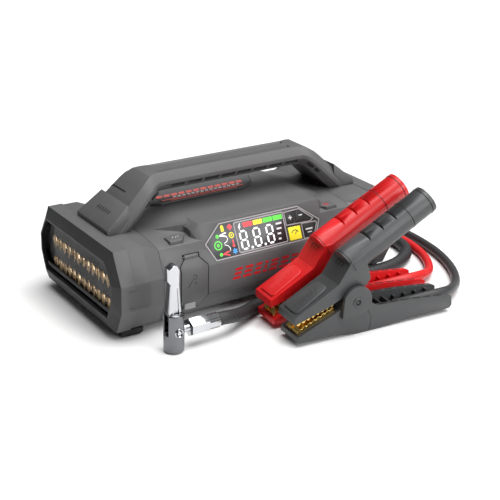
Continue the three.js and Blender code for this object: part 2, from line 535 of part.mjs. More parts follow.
// Tyre chuck standing on its mouth, hose to the right
const CHUCK = { x: -106.5, y: -97, r: 8.2, height: 32.5, pivotZ: 18 };
function makeChuck() {
  const { x, y, r, height, pivotZ } = CHUCK;
  const profile = [[4.6, 0], [r - 1, 0], [r, 1], [r, height - 1], [r - 1, height], [0, height], [0, 14],
    [4.6, 14]].map(([a, b]) => new THREE.Vector2(a, b));
  const turned = new THREE.LatheGeometry([...profile, profile[0].clone()], 24).rotateX(Math.PI / 2)
    .translate(x, y, 0);
  const slot = box(x - 10, x + 5.2, y - 3.9, y + 3.9, 14.6, height + 2);
  const body = cut(solid(turned), slot, rod('y', 2.15, y - 10, y + 10, [x, pivotZ], 12),
    rod('x', 3.2, x + r - 1.2, x + r + 2, [y, 16], 12));
  add('chuck_body', toGeometry(body), chrome());
  add('chuck_pin', rod('y', 1.9, y - 8.6, y + 8.6, [x, pivotZ], 12), chrome());
  const side = [[-2.2, 15.6], [3.4, 15.6], [4.6, 20], [4.4, 33], [2.6, 56], [2.8, 68.5], [0.6, 72.6],
    [-2.4, 73], [-6.4, 70.4], [-6.8, 60], [-4.4, 56.5], [-6.2, 34], [-3.2, 27]];
  const lever = cut(solid(prismY(side.map(([a, b]) => [x + a, b]), y - 3.6, y + 3.6)),
    rod('y', 2.15, y - 10, y + 10, [x, pivotZ], 12));
  add('chuck_lever', toGeometry(lever), chrome());
  const nutStart = x + r + 5;
  const nut = rod('x', 7.6, nutStart, nutStart + 16, [y, 16], 6);
  const ferrule = join(rod('x', 3, x + r - 0.9, nutStart + 2, [y, 16], 12), nut,
    rod('x', 6.4, nutStart + 15, -67, [y, 16], 18));
  add('hose_ferrule', toGeometry(ferrule), chrome());
}

makeShells();
makeFrame(-1);
makeFrame(1);
makeHandle();
makeSocket(-1);
makeSocket(1);
makeLamp();
makeRightCover();
makeDisplay();
makeButtons();
makeLabelPlate();
makeDoor();
makeFeet();
makeInternals();
makePump();
makePiston();
makeClamp('black', clampBlack, -21.2, -131.5);
makeClamp('red', redPart, -18.6, -95.9);
cord('air_hose', hoseRoute, HOSE, 56, 10, rubber());
cord('red_cable', redRoute, CABLE, 36, 10, redPart());
cord('black_cable', blackRoute, CABLE, 38, 10, blackPart());
makeChuck();

export default group;
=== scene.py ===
"""Jump starter pack with air pump, work lamp, clamps and tyre hose: the visual model.

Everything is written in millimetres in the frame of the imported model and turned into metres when
a mesh is made. X runs along the handle, -Y is the display side, Z is up.
"""
import json
import math
import random

import bmesh
import bpy
from mathutils import Matrix, Vector

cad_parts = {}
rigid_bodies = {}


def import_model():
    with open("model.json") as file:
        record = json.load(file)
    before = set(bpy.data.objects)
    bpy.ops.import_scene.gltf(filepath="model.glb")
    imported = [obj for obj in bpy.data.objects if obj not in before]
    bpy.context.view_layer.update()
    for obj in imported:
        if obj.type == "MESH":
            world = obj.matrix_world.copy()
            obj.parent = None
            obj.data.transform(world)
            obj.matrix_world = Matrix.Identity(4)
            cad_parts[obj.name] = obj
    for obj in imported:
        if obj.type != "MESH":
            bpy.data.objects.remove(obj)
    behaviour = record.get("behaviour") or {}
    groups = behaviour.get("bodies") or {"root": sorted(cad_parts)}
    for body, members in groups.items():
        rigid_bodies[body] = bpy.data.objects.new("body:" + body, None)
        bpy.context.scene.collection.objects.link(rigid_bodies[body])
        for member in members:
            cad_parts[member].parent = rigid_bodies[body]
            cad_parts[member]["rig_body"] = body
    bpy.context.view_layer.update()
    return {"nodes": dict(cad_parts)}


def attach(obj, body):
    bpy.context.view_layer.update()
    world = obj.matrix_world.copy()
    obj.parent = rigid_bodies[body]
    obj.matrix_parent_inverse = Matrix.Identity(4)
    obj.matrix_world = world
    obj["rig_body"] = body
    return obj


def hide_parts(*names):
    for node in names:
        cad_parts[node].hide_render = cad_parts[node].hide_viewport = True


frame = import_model()
NODES = frame["nodes"]
MM = 0.001
random.seed(7)


# ---------------------------------------------------------------- camera
CAMERA_PLACE = (-0.4962, -0.7440, 0.4084)  # metres
CAMERA_TURN = (-35.3431, 23.1558, 1.9007)  # azimuth, elevation and roll in degrees
FOCAL_LENGTH, SENSOR_WIDTH = 79.28, 36


def place_camera():
    azimuth, elevation, roll = (math.radians(a) for a in CAMERA_TURN)
    back = Vector((math.sin(azimuth) * math.cos(elevation),
                   -math.cos(azimuth) * math.cos(elevation), math.sin(elevation)))
    right = Vector((math.cos(azimuth), math.sin(azimuth), 0))
    up = back.cross(right)
    c, s = math.cos(roll), math.sin(roll)
    axes = (c * right + s * up, c * up - s * right, back)
    data = bpy.data.cameras.new("camera")
    data.lens = FOCAL_LENGTH
    data.sensor_width = SENSOR_WIDTH
    data.clip_start = 0.05
    camera = bpy.data.objects.new("camera", data)
    camera.matrix_world = (Matrix.Translation(CAMERA_PLACE)
                           @ Matrix(axes).transposed().to_4x4())
    bpy.context.scene.collection.objects.link(camera)
    bpy.context.scene.camera = camera


place_camera()


# ---------------------------------------------------------------- mesh helpers
def mesh_object(name, verts, faces, material=None, body="pack"):
    """A piece from vertices in mm, riding on a body."""
    mesh = bpy.data.meshes.new(name)
    mesh.from_pydata([tuple(c * MM for c in v) for v in verts], [], faces)
    mesh.validate()
    return finish_mesh(name, mesh, material, body)


def finish_mesh(name, mesh, material, body):
    obj = bpy.data.objects.new(name, mesh)
    bpy.context.scene.collection.objects.link(obj)
    if material:
        mesh.materials.append(material)
    if body:
        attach(obj, body)
    return obj


def smooth(obj, angle=32):
    """Smooth shading, with the edges sharper than the angle left sharp."""
    mesh = obj.data
    mesh.shade_smooth()
    mesh.set_sharp_from_angle(angle=math.radians(angle))
    return obj


def bevel(obj, width, segments=2, angle=28, shade=40):
    """Rounded edges as real geometry."""
    mod = obj.modifiers.new("bevel", "BEVEL")
    mod.width = width * MM
    mod.segments = segments
    mod.limit_method = "ANGLE"
    mod.angle_limit = math.radians(angle)
    mod.use_clamp_overlap = True
    mod.harden_normals = False
    apply_modifiers(obj)
    return smooth(obj, shade)


def apply_modifiers(obj):
    bpy.context.view_layer.update()
    graph = bpy.context.evaluated_depsgraph_get()
    done = bpy.data.meshes.new_from_object(obj.evaluated_get(graph))
    obj.modifiers.clear()
    old = obj.data
    obj.data = done
    done.name = obj.name
    if old.users == 0:
        bpy.data.meshes.remove(old)


def carve(obj, tool):
    """Cuts the tool out of the piece and deletes the tool."""
    mod = obj.modifiers.new("cut", "BOOLEAN")
    mod.operation = "DIFFERENCE"
    mod.solver = "EXACT"
    mod.object = tool
    apply_modifiers(obj)
    mesh = tool.data
    bpy.data.objects.remove(tool)
    bpy.data.meshes.remove(mesh)


def tidy_mesh(mesh, angle=0.6):
    """Welds the vertices and joins the triangles of each flat face."""
    bm = bmesh.new()
    bm.from_mesh(mesh)
    bmesh.ops.remove_doubles(bm, verts=bm.verts, dist=2e-6)
    bmesh.ops.dissolve_limit(bm, angle_limit=math.radians(angle), verts=bm.verts, edges=bm.edges)
    bm.to_mesh(mesh)
    bm.free()


def from_cad(node, material, width=0.5, segments=2, angle=28, shade=40):
    """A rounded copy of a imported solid, which stands for it."""
    source = NODES[node]
    mesh = source.data.copy()
    mesh.materials.clear()
    tidy_mesh(mesh)
    obj = finish_mesh(node + "_skin", mesh, material, source["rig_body"])
    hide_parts(node)
    if width:
        bevel(obj, width, segments, angle, shade)
    else:
        smooth(obj, shade)
    return obj


def merge(objs):
    """Joins several objects on one body into the first."""
    base = objs[0]
    bm = bmesh.new()
    slots = []
    for o in objs:
        start = len(bm.faces)
        offset = [slots.index(m) if m in slots else (slots.append(m) or len(slots) - 1)
                  for m in o.data.materials]
        bm.from_mesh(o.data)
        bm.faces.ensure_lookup_table()
        for f in bm.faces[start:]:
            f.material_index = offset[min(f.material_index, len(offset) - 1)] if offset else 0
    mesh = bpy.data.meshes.new(base.name)
    bm.to_mesh(mesh)
    bm.free()
    for m in slots:
        mesh.materials.append(m)
    base.data = mesh
    for o in objs[1:]:
        bpy.data.objects.remove(o)
    return base


def prism(name, outline, low, high, place, material, body="pack", width=0, segments=2):
    """An outline pushed from low to high along the third axis of place, a 4x4 matrix in mm."""
    n = len(outline)
    verts = [place @ Vector((a, b, low)) for a, b in outline]
    verts += [place @ Vector((a, b, high)) for a, b in outline]
    faces = [tuple(reversed(range(n))), tuple(range(n, 2 * n))]
    faces += [(i, (i + 1) % n, n + (i + 1) % n, n + i) for i in range(n)]
    obj = mesh_object(name, verts, faces, material, body)
    fix_normals(obj)
    if width:
        bevel(obj, width, segments)
    return obj


def fix_normals(obj):
    bm = bmesh.new()
    bm.from_mesh(obj.data)
    bmesh.ops.recalc_face_normals(bm, faces=bm.faces)
    bm.to_mesh(obj.data)
    bm.free()


def plates(name, outlines, low, high, place, material, body="pack", width=0):
    """Several flat outlines raised off one face, as one piece."""
    verts, faces = [], []
    for outline in outlines:
        start, n = len(verts), len(outline)
        verts += [place @ Vector((a, b, low)) for a, b in outline]
        verts += [place @ Vector((a, b, high)) for a, b in outline]
        faces += [tuple(start + i for i in reversed(range(n))), tuple(start + n + i for i in range(n))]
        faces += [(start + i, start + (i + 1) % n, start + n + (i + 1) % n, start + n + i)
                  for i in range(n)]
    obj = mesh_object(name, verts, faces, material, body)
    fix_normals(obj)
    if width:
        bevel(obj, width, 2)
    return obj


def strokes(points, width, closed=False):
    """Outlines of a line of even width through the points, mitred at the corners."""
    pts = [Vector(p) for p in points]
    n = len(pts)
    sides = []
    for i, p in enumerate(pts):
        before = (p - pts[i - 1]).normalized() if closed or i else None
        after = (pts[(i + 1) % n] - p).normalized() if closed or i + 1 < n else None
        d0, d1 = before or after, after or before
        along = (d0 + d1).normalized()
        across = Vector((-along.y, along.x)) * (width / 2 / max(0.4, along.dot(d0)))
        sides.append((p + across, p - across))
    count = n if closed else n - 1
    return [[sides[i][0], sides[i][1], sides[(i + 1) % n][1], sides[(i + 1) % n][0]] for i in range(count)]


def arc(cx, cy, r, start, end, steps=16):
    return [(cx + r * math.cos(math.radians(start + (end - start) * k / steps)),
             cy + r * math.sin(math.radians(start + (end - start) * k / steps))) for k in range(steps + 1)]


def disc(cx, cy, r, sides=20):
    return arc(cx, cy, r, 0, 360 - 360 / sides, sides - 1)


def inset(points, distance):
    """A convex outline with every edge moved inwards."""
    n = len(points)
    edges = []
    for i in range(n):
        a, b = Vector(points[i]), Vector(points[(i + 1) % n])
        d = (b - a).normalized()
        edges.append((a + Vector((-d.y, d.x)) * distance, d))
    out = []
    for i in range(n):
        (p0, d0), (p1, d1) = edges[i - 1], edges[i]
        t = ((p1.x - p0.x) * d1.y - (p1.y - p0.y) * d1.x) / (d0.x * d1.y - d0.y * d1.x)
        out.append(tuple(p0 + d0 * t))
    return out


def skin_patch(name, source, wanted, thickness, material):
    """The faces of a piece that wanted(centre in mm, normal) picks, as a thin skin over them."""
    bm = bmesh.new()
    bm.from_mesh(source.data)
    drop = [f for f in bm.faces if not wanted(f.calc_center_median() / MM, f.normal)]
    bmesh.ops.delete(bm, geom=drop, context="FACES")
    mesh = bpy.data.meshes.new(name)
    bm.to_mesh(mesh)
    bm.free()
    obj = finish_mesh(name, mesh, material, source["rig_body"])
    mod = obj.modifiers.new("skin", "SOLIDIFY")
    mod.thickness = thickness * MM
    mod.offset = 1
    apply_modifiers(obj)
    return smooth(obj, 40)


def revolve(name, profile, place, material, body="pack", sides=48, shade=35):
    """A profile of (radius, height) points turned about the third axis of place."""
    verts, faces, rings = [], [], []
    for r, h in profile:
        if r < 1e-6:
            rings.append([len(verts)])
            verts.append(place @ Vector((0, 0, h)))
        else:
            rings.append(list(range(len(verts), len(verts) + sides)))
            for k in range(sides):
                a = 2 * math.pi * k / sides
                verts.append(place @ Vector((r * math.cos(a), r * math.sin(a), h)))
    closed = profile[0] == profile[-1]
    pairs = list(zip(rings, rings[1:]))
    if closed:
        pairs[-1] = (pairs[-1][0], rings[0])
    for a, b in pairs:
        for k in range(sides):
            j = (k + 1) % sides
            if len(a) == 1 and len(b) == 1:
                continue
            if len(a) == 1:
                faces.append((a[0], b[j], b[k]))
            elif len(b) == 1:
                faces.append((a[k], a[j], b[0]))
            else:
                faces.append((a[k], a[j], b[j], b[k]))
    obj = mesh_object(name, verts, faces, material, body)
    bm = bmesh.new()
    bm.from_mesh(obj.data)
    bmesh.ops.delete(bm, geom=[v for v in bm.verts if not v.link_faces], context="VERTS")
    bmesh.ops.recalc_face_normals(bm, faces=bm.faces)
    bm.to_mesh(obj.data)
    bm.free()
    return smooth(obj, shade)


def axes_at(origin, x, z):
    """4x4 with the given origin, first axis near x and third axis along z."""
    z = Vector(z).normalized()
    y = z.cross(Vector(x)).normalized()
    x = y.cross(z)
    m = Matrix((x, y, z)).transposed().to_4x4()
    m.translation = Vector(origin)
    return m


def smooth_route(points, step):
    """Centripetal Catmull-Rom through the points, sampled about every step."""
    pts = [Vector(p) for p in points]
    pts = [pts[0] * 2 - pts[1]] + pts + [pts[-1] * 2 - pts[-2]]
    out = []
    for i in range(1, len(pts) - 2):
        p0, p1, p2, p3 = pts[i - 1:i + 3]
        t0 = 0.0
        t1 = t0 + (p1 - p0).length ** 0.5
        t2 = t1 + (p2 - p1).length ** 0.5
        t3 = t2 + (p3 - p2).length ** 0.5
        count = max(2, round((p2 - p1).length / step))
        for k in range(count):
            t = t1 + (t2 - t1) * k / count
            a1 = p0 * ((t1 - t) / (t1 - t0)) + p1 * ((t - t0) / (t1 - t0))
            a2 = p1 * ((t2 - t) / (t2 - t1)) + p2 * ((t - t1) / (t2 - t1))
            a3 = p2 * ((t3 - t) / (t3 - t2)) + p3 * ((t - t2) / (t3 - t2))
            b1 = a1 * ((t2 - t) / (t2 - t0)) + a2 * ((t - t0) / (t2 - t0))
            b2 = a2 * ((t3 - t) / (t3 - t1)) + a3 * ((t - t1) / (t3 - t1))
            out.append(b1 * ((t2 - t) / (t2 - t1)) + b2 * ((t - t1) / (t2 - t1)))
    out.append(pts[-2].copy())
    return out


def tube(name, path, radius, sides, material, body="pack", shade=60):
    """Skin round a path; radius(s, angle) is in mm. A UV map holds (angle, length along)."""
    frames = []
    tangent = (path[1] - path[0]).normalized()
    side = tangent.cross(Vector((0, 0, 1)))
    if side.length < 1e-3:
        side = tangent.cross(Vector((0, 1, 0)))
    side.normalize()
    travelled = 0.0
    for i, p in enumerate(path):
        a = path[max(i - 1, 0)]
        b = path[min(i + 1, len(path) - 1)]
        new = (b - a).normalized()
        side = tangent.rotation_difference(new) @ side
        side = (side - new * side.dot(new)).normalized()
        tangent = new
        if i:
            travelled += (p - path[i - 1]).length
        frames.append((p, side.copy(), new.cross(side), travelled))
    verts = []
    for p, u, v, s in frames:
        for k in range(sides):
            angle = 2 * math.pi * k / sides
            r = radius(s, angle)
            verts.append(p + u * (r * math.cos(angle)) + v * (r * math.sin(angle)))
    faces = []
    for i in range(len(path) - 1):
        for k in range(sides):
            a, b = i * sides + k, i * sides + (k + 1) % sides
            faces.append((a, b, b + sides, a + sides))
    faces.append(tuple(reversed(range(sides))))
    faces.append(tuple(range((len(path) - 1) * sides, len(path) * sides)))
    obj = mesh_object(name, verts, faces, material, body)
    layer = obj.data.uv_layers.new(name="route")
    for poly in obj.data.polygons:
        wrap = any(obj.data.loops[li].vertex_index % sides == 0 for li in poly.loop_indices) and \
            any(obj.data.loops[li].vertex_index % sides == sides - 1 for li in poly.loop_indices)
        for li in poly.loop_indices:
            index = obj.data.loops[li].vertex_index
            k = index % sides
            u = 1.0 if wrap and k == 0 else k / sides
            layer.data[li].uv = (u, frames[index // sides][3] * MM)
    fix_normals(obj)
    return smooth(obj, shade)


# ---------------------------------------------------------------- materials
def srgb(r, g, b):
    def lin(c):
        c /= 255
        return c / 12.92 if c <= 0.04045 else ((c + 0.055) / 1.055) ** 2.4
    return (lin(r), lin(g), lin(b), 1)


def shade_of(color, k):
    return tuple(min(1, c * k) for c in color[:3]) + (1,)


class Finish:
    """A material under construction: a Principled shader and the nodes that feed it."""

    def __init__(self, name, color, roughness, metallic=0.0, specular=0.5):
        self.mat = bpy.data.materials.new(name)
        self.mat.use_nodes = True
        self.nodes = self.mat.node_tree.nodes
        self.links = self.mat.node_tree.links
        self.shader = self.nodes["Principled BSDF"]
        self.color = color
        self.shader.inputs["Base Color"].default_value = color
        self.shader.inputs["Roughness"].default_value = roughness
        self.shader.inputs["Metallic"].default_value = metallic
        self.shader.inputs["Specular IOR Level"].default_value = specular
        self.mat.diffuse_color = color
        self.coords = self.nodes.new("ShaderNodeTexCoord")
        self.bump_out = None

    def noise(self, scale, detail=3, stretch=None, rough=0.5):
        node = self.nodes.new("ShaderNodeTexNoise")
        node.inputs["Scale"].default_value = scale
        node.inputs["Detail"].default_value = detail
        node.inputs["Roughness"].default_value = rough
        source = self.coords.outputs["Object"]
        if stretch:
            mapping = self.nodes.new("ShaderNodeMapping")
            mapping.inputs["Scale"].default_value = stretch
            self.links.new(source, mapping.inputs["Vector"])
            source = mapping.outputs["Vector"]
        self.links.new(source, node.inputs["Vector"])
        return node.outputs["Fac"]

    def tint(self, fac, dark, light, low=0.35, high=0.65):
        """Base colour runs between two shades of the colour."""
        ramp = self.nodes.new("ShaderNodeValToRGB")
        ramp.color_ramp.elements[0].position = low
        ramp.color_ramp.elements[1].position = high
        ramp.color_ramp.elements[0].color = shade_of(self.color, dark)
        ramp.color_ramp.elements[1].color = shade_of(self.color, light)
        self.links.new(fac, ramp.inputs["Fac"])
        self.links.new(ramp.outputs["Color"], self.shader.inputs["Base Color"])
        return self

    def rough(self, fac, low, high):
        node = self.nodes.new("ShaderNodeMapRange")
        node.inputs["From Min"].default_value = 0.3
        node.inputs["From Max"].default_value = 0.7
        node.inputs["To Min"].default_value = low
        node.inputs["To Max"].default_value = high
        self.links.new(fac, node.inputs["Value"])
        self.links.new(node.outputs["Result"], self.shader.inputs["Roughness"])
        return self

    def bump(self, height, strength, distance):
        node = self.nodes.new("ShaderNodeBump")
        node.inputs["Strength"].default_value = strength
        node.inputs["Distance"].default_value = distance
        self.links.new(height, node.inputs["Height"])
        if self.bump_out:
            self.links.new(self.bump_out, node.inputs["Normal"])
        self.bump_out = node.outputs["Normal"]
        self.links.new(self.bump_out, self.shader.inputs["Normal"])
        return self

    def set(self, **values):
        for key, value in values.items():
            self.shader.inputs[key.replace("_", " ")].default_value = value
        return self


def textured_plastic(name, color, roughness, grain=0.35, grain_scale=1500):
    f = Finish(name, color, roughness)
    f.tint(f.noise(9, 4), 0.94, 1.06)
    f.rough(f.noise(60, 3), roughness - 0.05, roughness + 0.06)
    f.bump(f.noise(grain_scale, 2), grain, 0.00025)
    return f.mat


def glow(name, color, strength, mottle=0.1):
    f = Finish(name, color, 0.4)
    f.tint(f.noise(900, 2), 1 - mottle, 1 + mottle)
    f.set(Emission_Color=color, Emission_Strength=strength)
    return f.mat


def metal(name, color, roughness, scratch=0.15, stretch=(1, 1, 1)):
    f = Finish(name, color, roughness, 1.0)
    f.tint(f.noise(40, 4), 0.93, 1.05)
    f.rough(f.noise(260, 4, stretch), roughness * 0.8, roughness * 1.5)
    f.bump(f.noise(500, 3, stretch), scratch, 0.00006)
    return f.mat


GREY = textured_plastic("grey_plastic", srgb(88, 88, 89), 0.5)
DARK = textured_plastic("dark_plastic", srgb(54, 54, 55), 0.52)
BEZEL = textured_plastic("bezel_plastic", srgb(38, 38, 39), 0.55)
BLACK = textured_plastic("black_plastic", srgb(24, 24, 25), 0.5)
# Near-black for painted shade in slots, holes, gaps and recesses, and for the black clamp's seam lines and
# ticks
SHADE_AND_SEAM_BLACK = textured_plastic("painted_shade_and_seam_black", srgb(16, 16, 17), 0.7)
RUBBER = textured_plastic("rubber", srgb(34, 34, 35), 0.8, 0.6, 700)
CLAMP_BLACK = textured_plastic("clamp_black", srgb(62, 63, 64), 0.42, 0.2, 1200)
CLAMP_RED = textured_plastic("clamp_red", srgb(206, 22, 26), 0.36, 0.15, 1200)
CABLE_RED = textured_plastic("cable_red", srgb(200, 24, 26), 0.38, 0.2, 500)
CABLE_BLACK = textured_plastic("cable_black", srgb(48, 48, 50), 0.42, 0.2, 500)
BRAID = textured_plastic("hose_braid", srgb(36, 36, 38), 0.5, 0.5, 1800)
OVERLAY = textured_plastic("smoked_overlay", srgb(58, 59, 61), 0.3, 0.08, 700)
CHROME = metal("chrome", srgb(196, 197, 200), 0.1, 0.03)
# Chrome darkened all over so its reflections come out darker, as on the chuck body: painted shade
SHADE_DARKENED_CHROME = metal("chrome_with_painted_shade", srgb(118, 119, 122), 0.16, 0.04)
STEEL = metal("steel", srgb(170, 171, 174), 0.3, 0.3, (1, 8, 8))
GOLD = metal("gold_teeth", srgb(232, 196, 112), 0.24, 0.2)
BRASS = metal("brass", srgb(200, 160, 80), 0.3, 0.2)
ALUMINIUM = metal("aluminium", srgb(185, 187, 190), 0.4, 0.3)
CIRCUIT = textured_plastic("circuit_green", srgb(28, 92, 58), 0.4, 0.1, 900)
SLEEVE = textured_plastic("battery_sleeve", srgb(38, 88, 168), 0.3, 0.1, 300)
LIGHT_GREY = textured_plastic("light_plastic", srgb(150, 150, 151), 0.5)


def clear_lens():
    """A clear cover: mostly see-through, with a faint gloss that follows the viewing angle."""
    f = Finish("clear_lens", srgb(60, 60, 62), 0.05)
    f.bump(f.noise(60, 2), 0.02, 0.0002)
    through = f.nodes.new("ShaderNodeBsdfTransparent")
    blend = f.nodes.new("ShaderNodeMixShader")
    edge = f.nodes.new("ShaderNodeLayerWeight")
    edge.inputs["Blend"].default_value = 0.06
    f.links.new(edge.outputs["Fresnel"], blend.inputs["Fac"])
    f.links.new(through.outputs["BSDF"], blend.inputs[1])
    f.links.new(f.shader.outputs["BSDF"], blend.inputs[2])
    f.links.new(blend.outputs["Shader"], f.nodes["Material Output"].inputs["Surface"])
    return f.mat


LENS = clear_lens()
# Faintly glowing streaks for the lamp's lens: painted glints, not lamps
GLINT_STREAK = glow("painted_glint_streak", srgb(160, 138, 108), 0.3, 0.3)
AMBER = metal("amber_reflector", srgb(206, 184, 148), 0.22)
LED_GLOW = glow("led_glow", srgb(255, 236, 202), 1.8)
LIT_WHITE = glow("lit_white", srgb(240, 240, 242), 0.5)
LIT_RED = glow("lit_red", srgb(232, 62, 70), 0.45)
LIT_YELLOW = glow("lit_yellow", srgb(232, 214, 44), 0.4)
LIT_GREEN = glow("lit_green", srgb(84, 214, 62), 0.45)
LIT_BLUE = glow("lit_blue", srgb(78, 158, 232), 0.45)
PRINT_GREY = textured_plastic("printed_grey", srgb(168, 164, 166), 0.45, 0.05)
PRINT_RED = textured_plastic("printed_red", srgb(206, 26, 34), 0.4, 0.05)
PRINT_SALMON = textured_plastic("printed_salmon", srgb(240, 112, 104), 0.4, 0.05)
PRINT_WHITE = textured_plastic("printed_white", srgb(226, 226, 228), 0.4, 0.05)
# Dark red for the red clamp's seam lines and ticks, and for painted shade in its edge slots
SHADE_AND_SEAM_RED = textured_plastic("painted_shade_and_seam_red", srgb(96, 8, 10), 0.5, 0.05)
SCREEN = textured_plastic("screen_glass", srgb(38, 37, 41), 0.12, 0.02)

# ---------------------------------------------------------------- pieces taken from the solids
# For each solid: its material, then from_cad's width, segments, angle and shade
PLAIN = {
    "upper_shell": (GREY, 1.2, 3), "lower_shell": (GREY, 1.0, 3),
    "left_end_frame": (GREY, 0.7, 2, 10, 16), "right_end_frame": (GREY, 0.7, 2, 10, 16),
    "handle": (GREY, 0.9, 3, 20, 24), "handle_socket_left": (GREY, 0.7, 2),
    "handle_socket_right": (GREY, 0.7, 2), "right_end_cover": (DARK, 0.4, 2),
    "display_overlay": (OVERLAY, 0.3, 2), "key_plus": (BLACK, 0.3, 2), "key_minus": (BLACK, 0.3, 2),
    "key_mode": (LIT_YELLOW, 0.4, 2), "key_pump": (BLACK, 0.3, 2), "display_module": (CIRCUIT, 0.2, 1),
    "lamp_lens": (LENS, 0, 1, 28, 1), "lamp_reflector": (BLACK, 0, 1), "led_board": (BLACK, 0, 1),
    "red_cable_gland": (CLAMP_RED, 0.4, 2), "black_cable_gland": (BLACK, 0.4, 2),
    "hose_fitting": (CHROME, 0.3, 2), "power_button": (GREY, 0.8, 3), "light_button": (GREY, 0.8, 3),
    "label_plate": (GREY, 0.4, 2), "accessory_door": (GREY, 0.4, 2), "door_hinge_pin": (STEEL, 0.2, 1),
    "accessory_pocket": (BLACK, 0.5, 2), "foot_front_left": (RUBBER, 1.0, 3),
    "foot_front_right": (RUBBER, 1.0, 3), "foot_rear_left": (RUBBER, 1.0, 3),
    "foot_rear_right": (RUBBER, 1.0, 3), "battery_tray": (BLACK, 0.5, 2),
    "battery_pack_lower": (SLEEVE, 1.5, 3), "battery_pack_upper": (SLEEVE, 1.5, 3),
    "main_board": (CIRCUIT, 0.3, 1), "pump_motor": (STEEL, 1.0, 2), "motor_pinion": (BRASS, 0.15, 1),
    "crank_gear": (STEEL, 0.15, 1), "connecting_rod": (STEEL, 0.4, 2), "piston": (ALUMINIUM, 0.5, 2),
    "pump_cylinder": (ALUMINIUM, 0.5, 2), "chuck_body": (SHADE_DARKENED_CHROME, 0.4, 2),
    "chuck_pin": (CHROME, 0.3, 1), "chuck_lever": (CHROME, 0.5, 2), "hose_ferrule": (CHROME, 0.4, 2)}
for c, plastic in (("black", CLAMP_BLACK), ("red", CLAMP_RED)):
    PLAIN[f"{c}_lower_arm"] = (plastic, 0.6, 2)
    PLAIN[f"{c}_upper_arm"] = (plastic, 0.8, 2)
    PLAIN[f"{c}_pivot_bolt"] = (plastic, 0.8, 3)
    PLAIN[f"{c}_lower_jaw"] = (GOLD, 0.2, 1)
    PLAIN[f"{c}_upper_jaw"] = (GOLD, 0.2, 1)
SKIN = {node: from_cad(node, *looks) for node, looks in PLAIN.items()}
BODY = {node: NODES[node]["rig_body"] for node in NODES.keys()}

# ---------------------------------------------------------------- end frames and lamp
ALONG_X = Matrix(((0, 0, 1, 0), (1, 0, 0, 0), (0, 1, 0, 0), (0, 0, 0, 1)))
FRONT = Matrix.Translation((0, -66, 0)) @ Matrix.Rotation(math.pi / 2, 4, "X")
TURNED_FRONT = Matrix.Rotation(math.pi / 2, 4, "X")  # first axis along, second up, third to the front
TURNED_BACK = Matrix.Rotation(-math.pi / 2, 4, "X")
CUP_ROWS = (28.5, 47)
CUP_COLUMNS = [-46.75 + 8.5 * k for k in range(12)]
LAMP_X = -138.1
STREAKS_PER_CUP = 9
LEDGE_RIBS, RIB_PITCH = 56, 1.9
for end, side in (("left", -1), ("right", 1)):
    skin_patch(f"{end}_nose_bezel", SKIN[f"{end}_end_frame"],
               lambda c, n, side=side: c.x * side > 137.05 and n.x * side > 0.1, 0.12, BEZEL)
    skin_patch(f"{end}_mouth_wall", SKIN[f"{end}_end_frame"],
               lambda c, n, side=side: c.x * side > 135 and n.x * side < 0.1 and abs(c.y) < 63
               and n.y * c.y + n.z * (c.z - 41) < 0, 0.1, BLACK)


def make_lamp():
    bowls, domes = [], []
    for y in CUP_COLUMNS:
        for z in CUP_ROWS:
            place = axes_at((LAMP_X, y, z), (0, 1, 0), (1, 0, 0))
            bowls.append(revolve("bowl", [(3.9, 1.7), (3.4, 2.6), (2.9, 4.4), (2.3, 6.6), (1.4, 7.6)],
                                 place, AMBER, sides=20))
            domes.append(revolve("dome", [(2.6, 6.6), (2.5, 4.4), (1.7, 2.9), (0, 2.3)], place, LED_GLOW,
                                 sides=14))
    merge(bowls)
    merge(domes)
    # Glowing streaks round each cup, laid on the lens: painted glints of the lamp's light
    streaks = []
    for y in CUP_COLUMNS:
        for z in CUP_ROWS:
            for _ in range(STREAKS_PER_CUP):
                dy = random.uniform(-3.4, 3.4)
                reach = random.uniform(3.5, 8.5) * (1 - abs(dy) / 6)
                lift = random.uniform(1.5, 5.5) * (1 - abs(dy) / 6)
                wide = random.uniform(0.1, 0.26)
                streaks.append([(y + dy - wide, z - reach), (y + dy + wide, z - reach),
                                (y + dy + wide / 3, z + lift), (y + dy - wide / 3, z + lift)])
    plates("lamp_painted_glints", streaks, LAMP_X + 1.75, LAMP_X + 2.1, ALONG_X, GLINT_STREAK)
    ledge = []
    for k in range(LEDGE_RIBS):
        y = 54 - RIB_PITCH * k
        ledge.append([(y, 21.4), (y - 1.3, 21.4), (y - 1.3, 24.6), (y, 24.6)])
    plates("lamp_ledge_ribs", ledge, -139.6, -138.2, ALONG_X, DARK, width=0.25)
    plates("lamp_ledge", [[(57, 20.8), (-57, 20.8), (-58.4, 24), (58.4, 24)]], -138.9, -138.15, ALONG_X,
           LIGHT_GREY, width=0.2)
    # A near-black strip below the lamp: painted shade in a slot
    plates("lamp_drain_slot_shade", [[(49, 15.9), (-49, 15.9), (-50, 17.2), (50, 17.2)]], -141.2, -140.4, ALONG_X,
           SHADE_AND_SEAM_BLACK)


make_lamp()

# ---------------------------------------------------------------- handle
GROOVE_LINES = ((-68.4, 66, 6.45), (-69.0, 66, -4.7))  # from x, to x, at y
SLOT_COUNT, SLOT_PITCH = 8, 16.5
# Each groove is carved; a dark disc at its start is painted shade
for number, (x0, x1, y) in enumerate(GROOVE_LINES, 1):
    tool = prism("tool", [(y - 2.3, 113.4), (y - 1.2, 111.2), (y + 1.2, 111.2), (y + 2.3, 113.4)], x0, x1,
                 ALONG_X, None, None)
    carve(SKIN["handle"], tool)
    plates(f"handle_groove_end_shade_{number}", [disc(x0 + 1.3, y, 0.95)], 111.1, 111.35, Matrix(), SHADE_AND_SEAM_BLACK)
smooth(SKIN["handle"], 24)
LEG_FACE = Matrix.Translation((-96.2, 0, 98.45)) @ Matrix.Rotation(-math.atan(0.912), 4, "Y")
# Dark strokes on the left leg's face: painted shade along a recess
plates("handle_leg_recess_shade", strokes([(-2, 18.6), (0, 17.4), (0, -3)], 1.2), -0.1, 0.12, LEG_FACE, SHADE_AND_SEAM_BLACK)
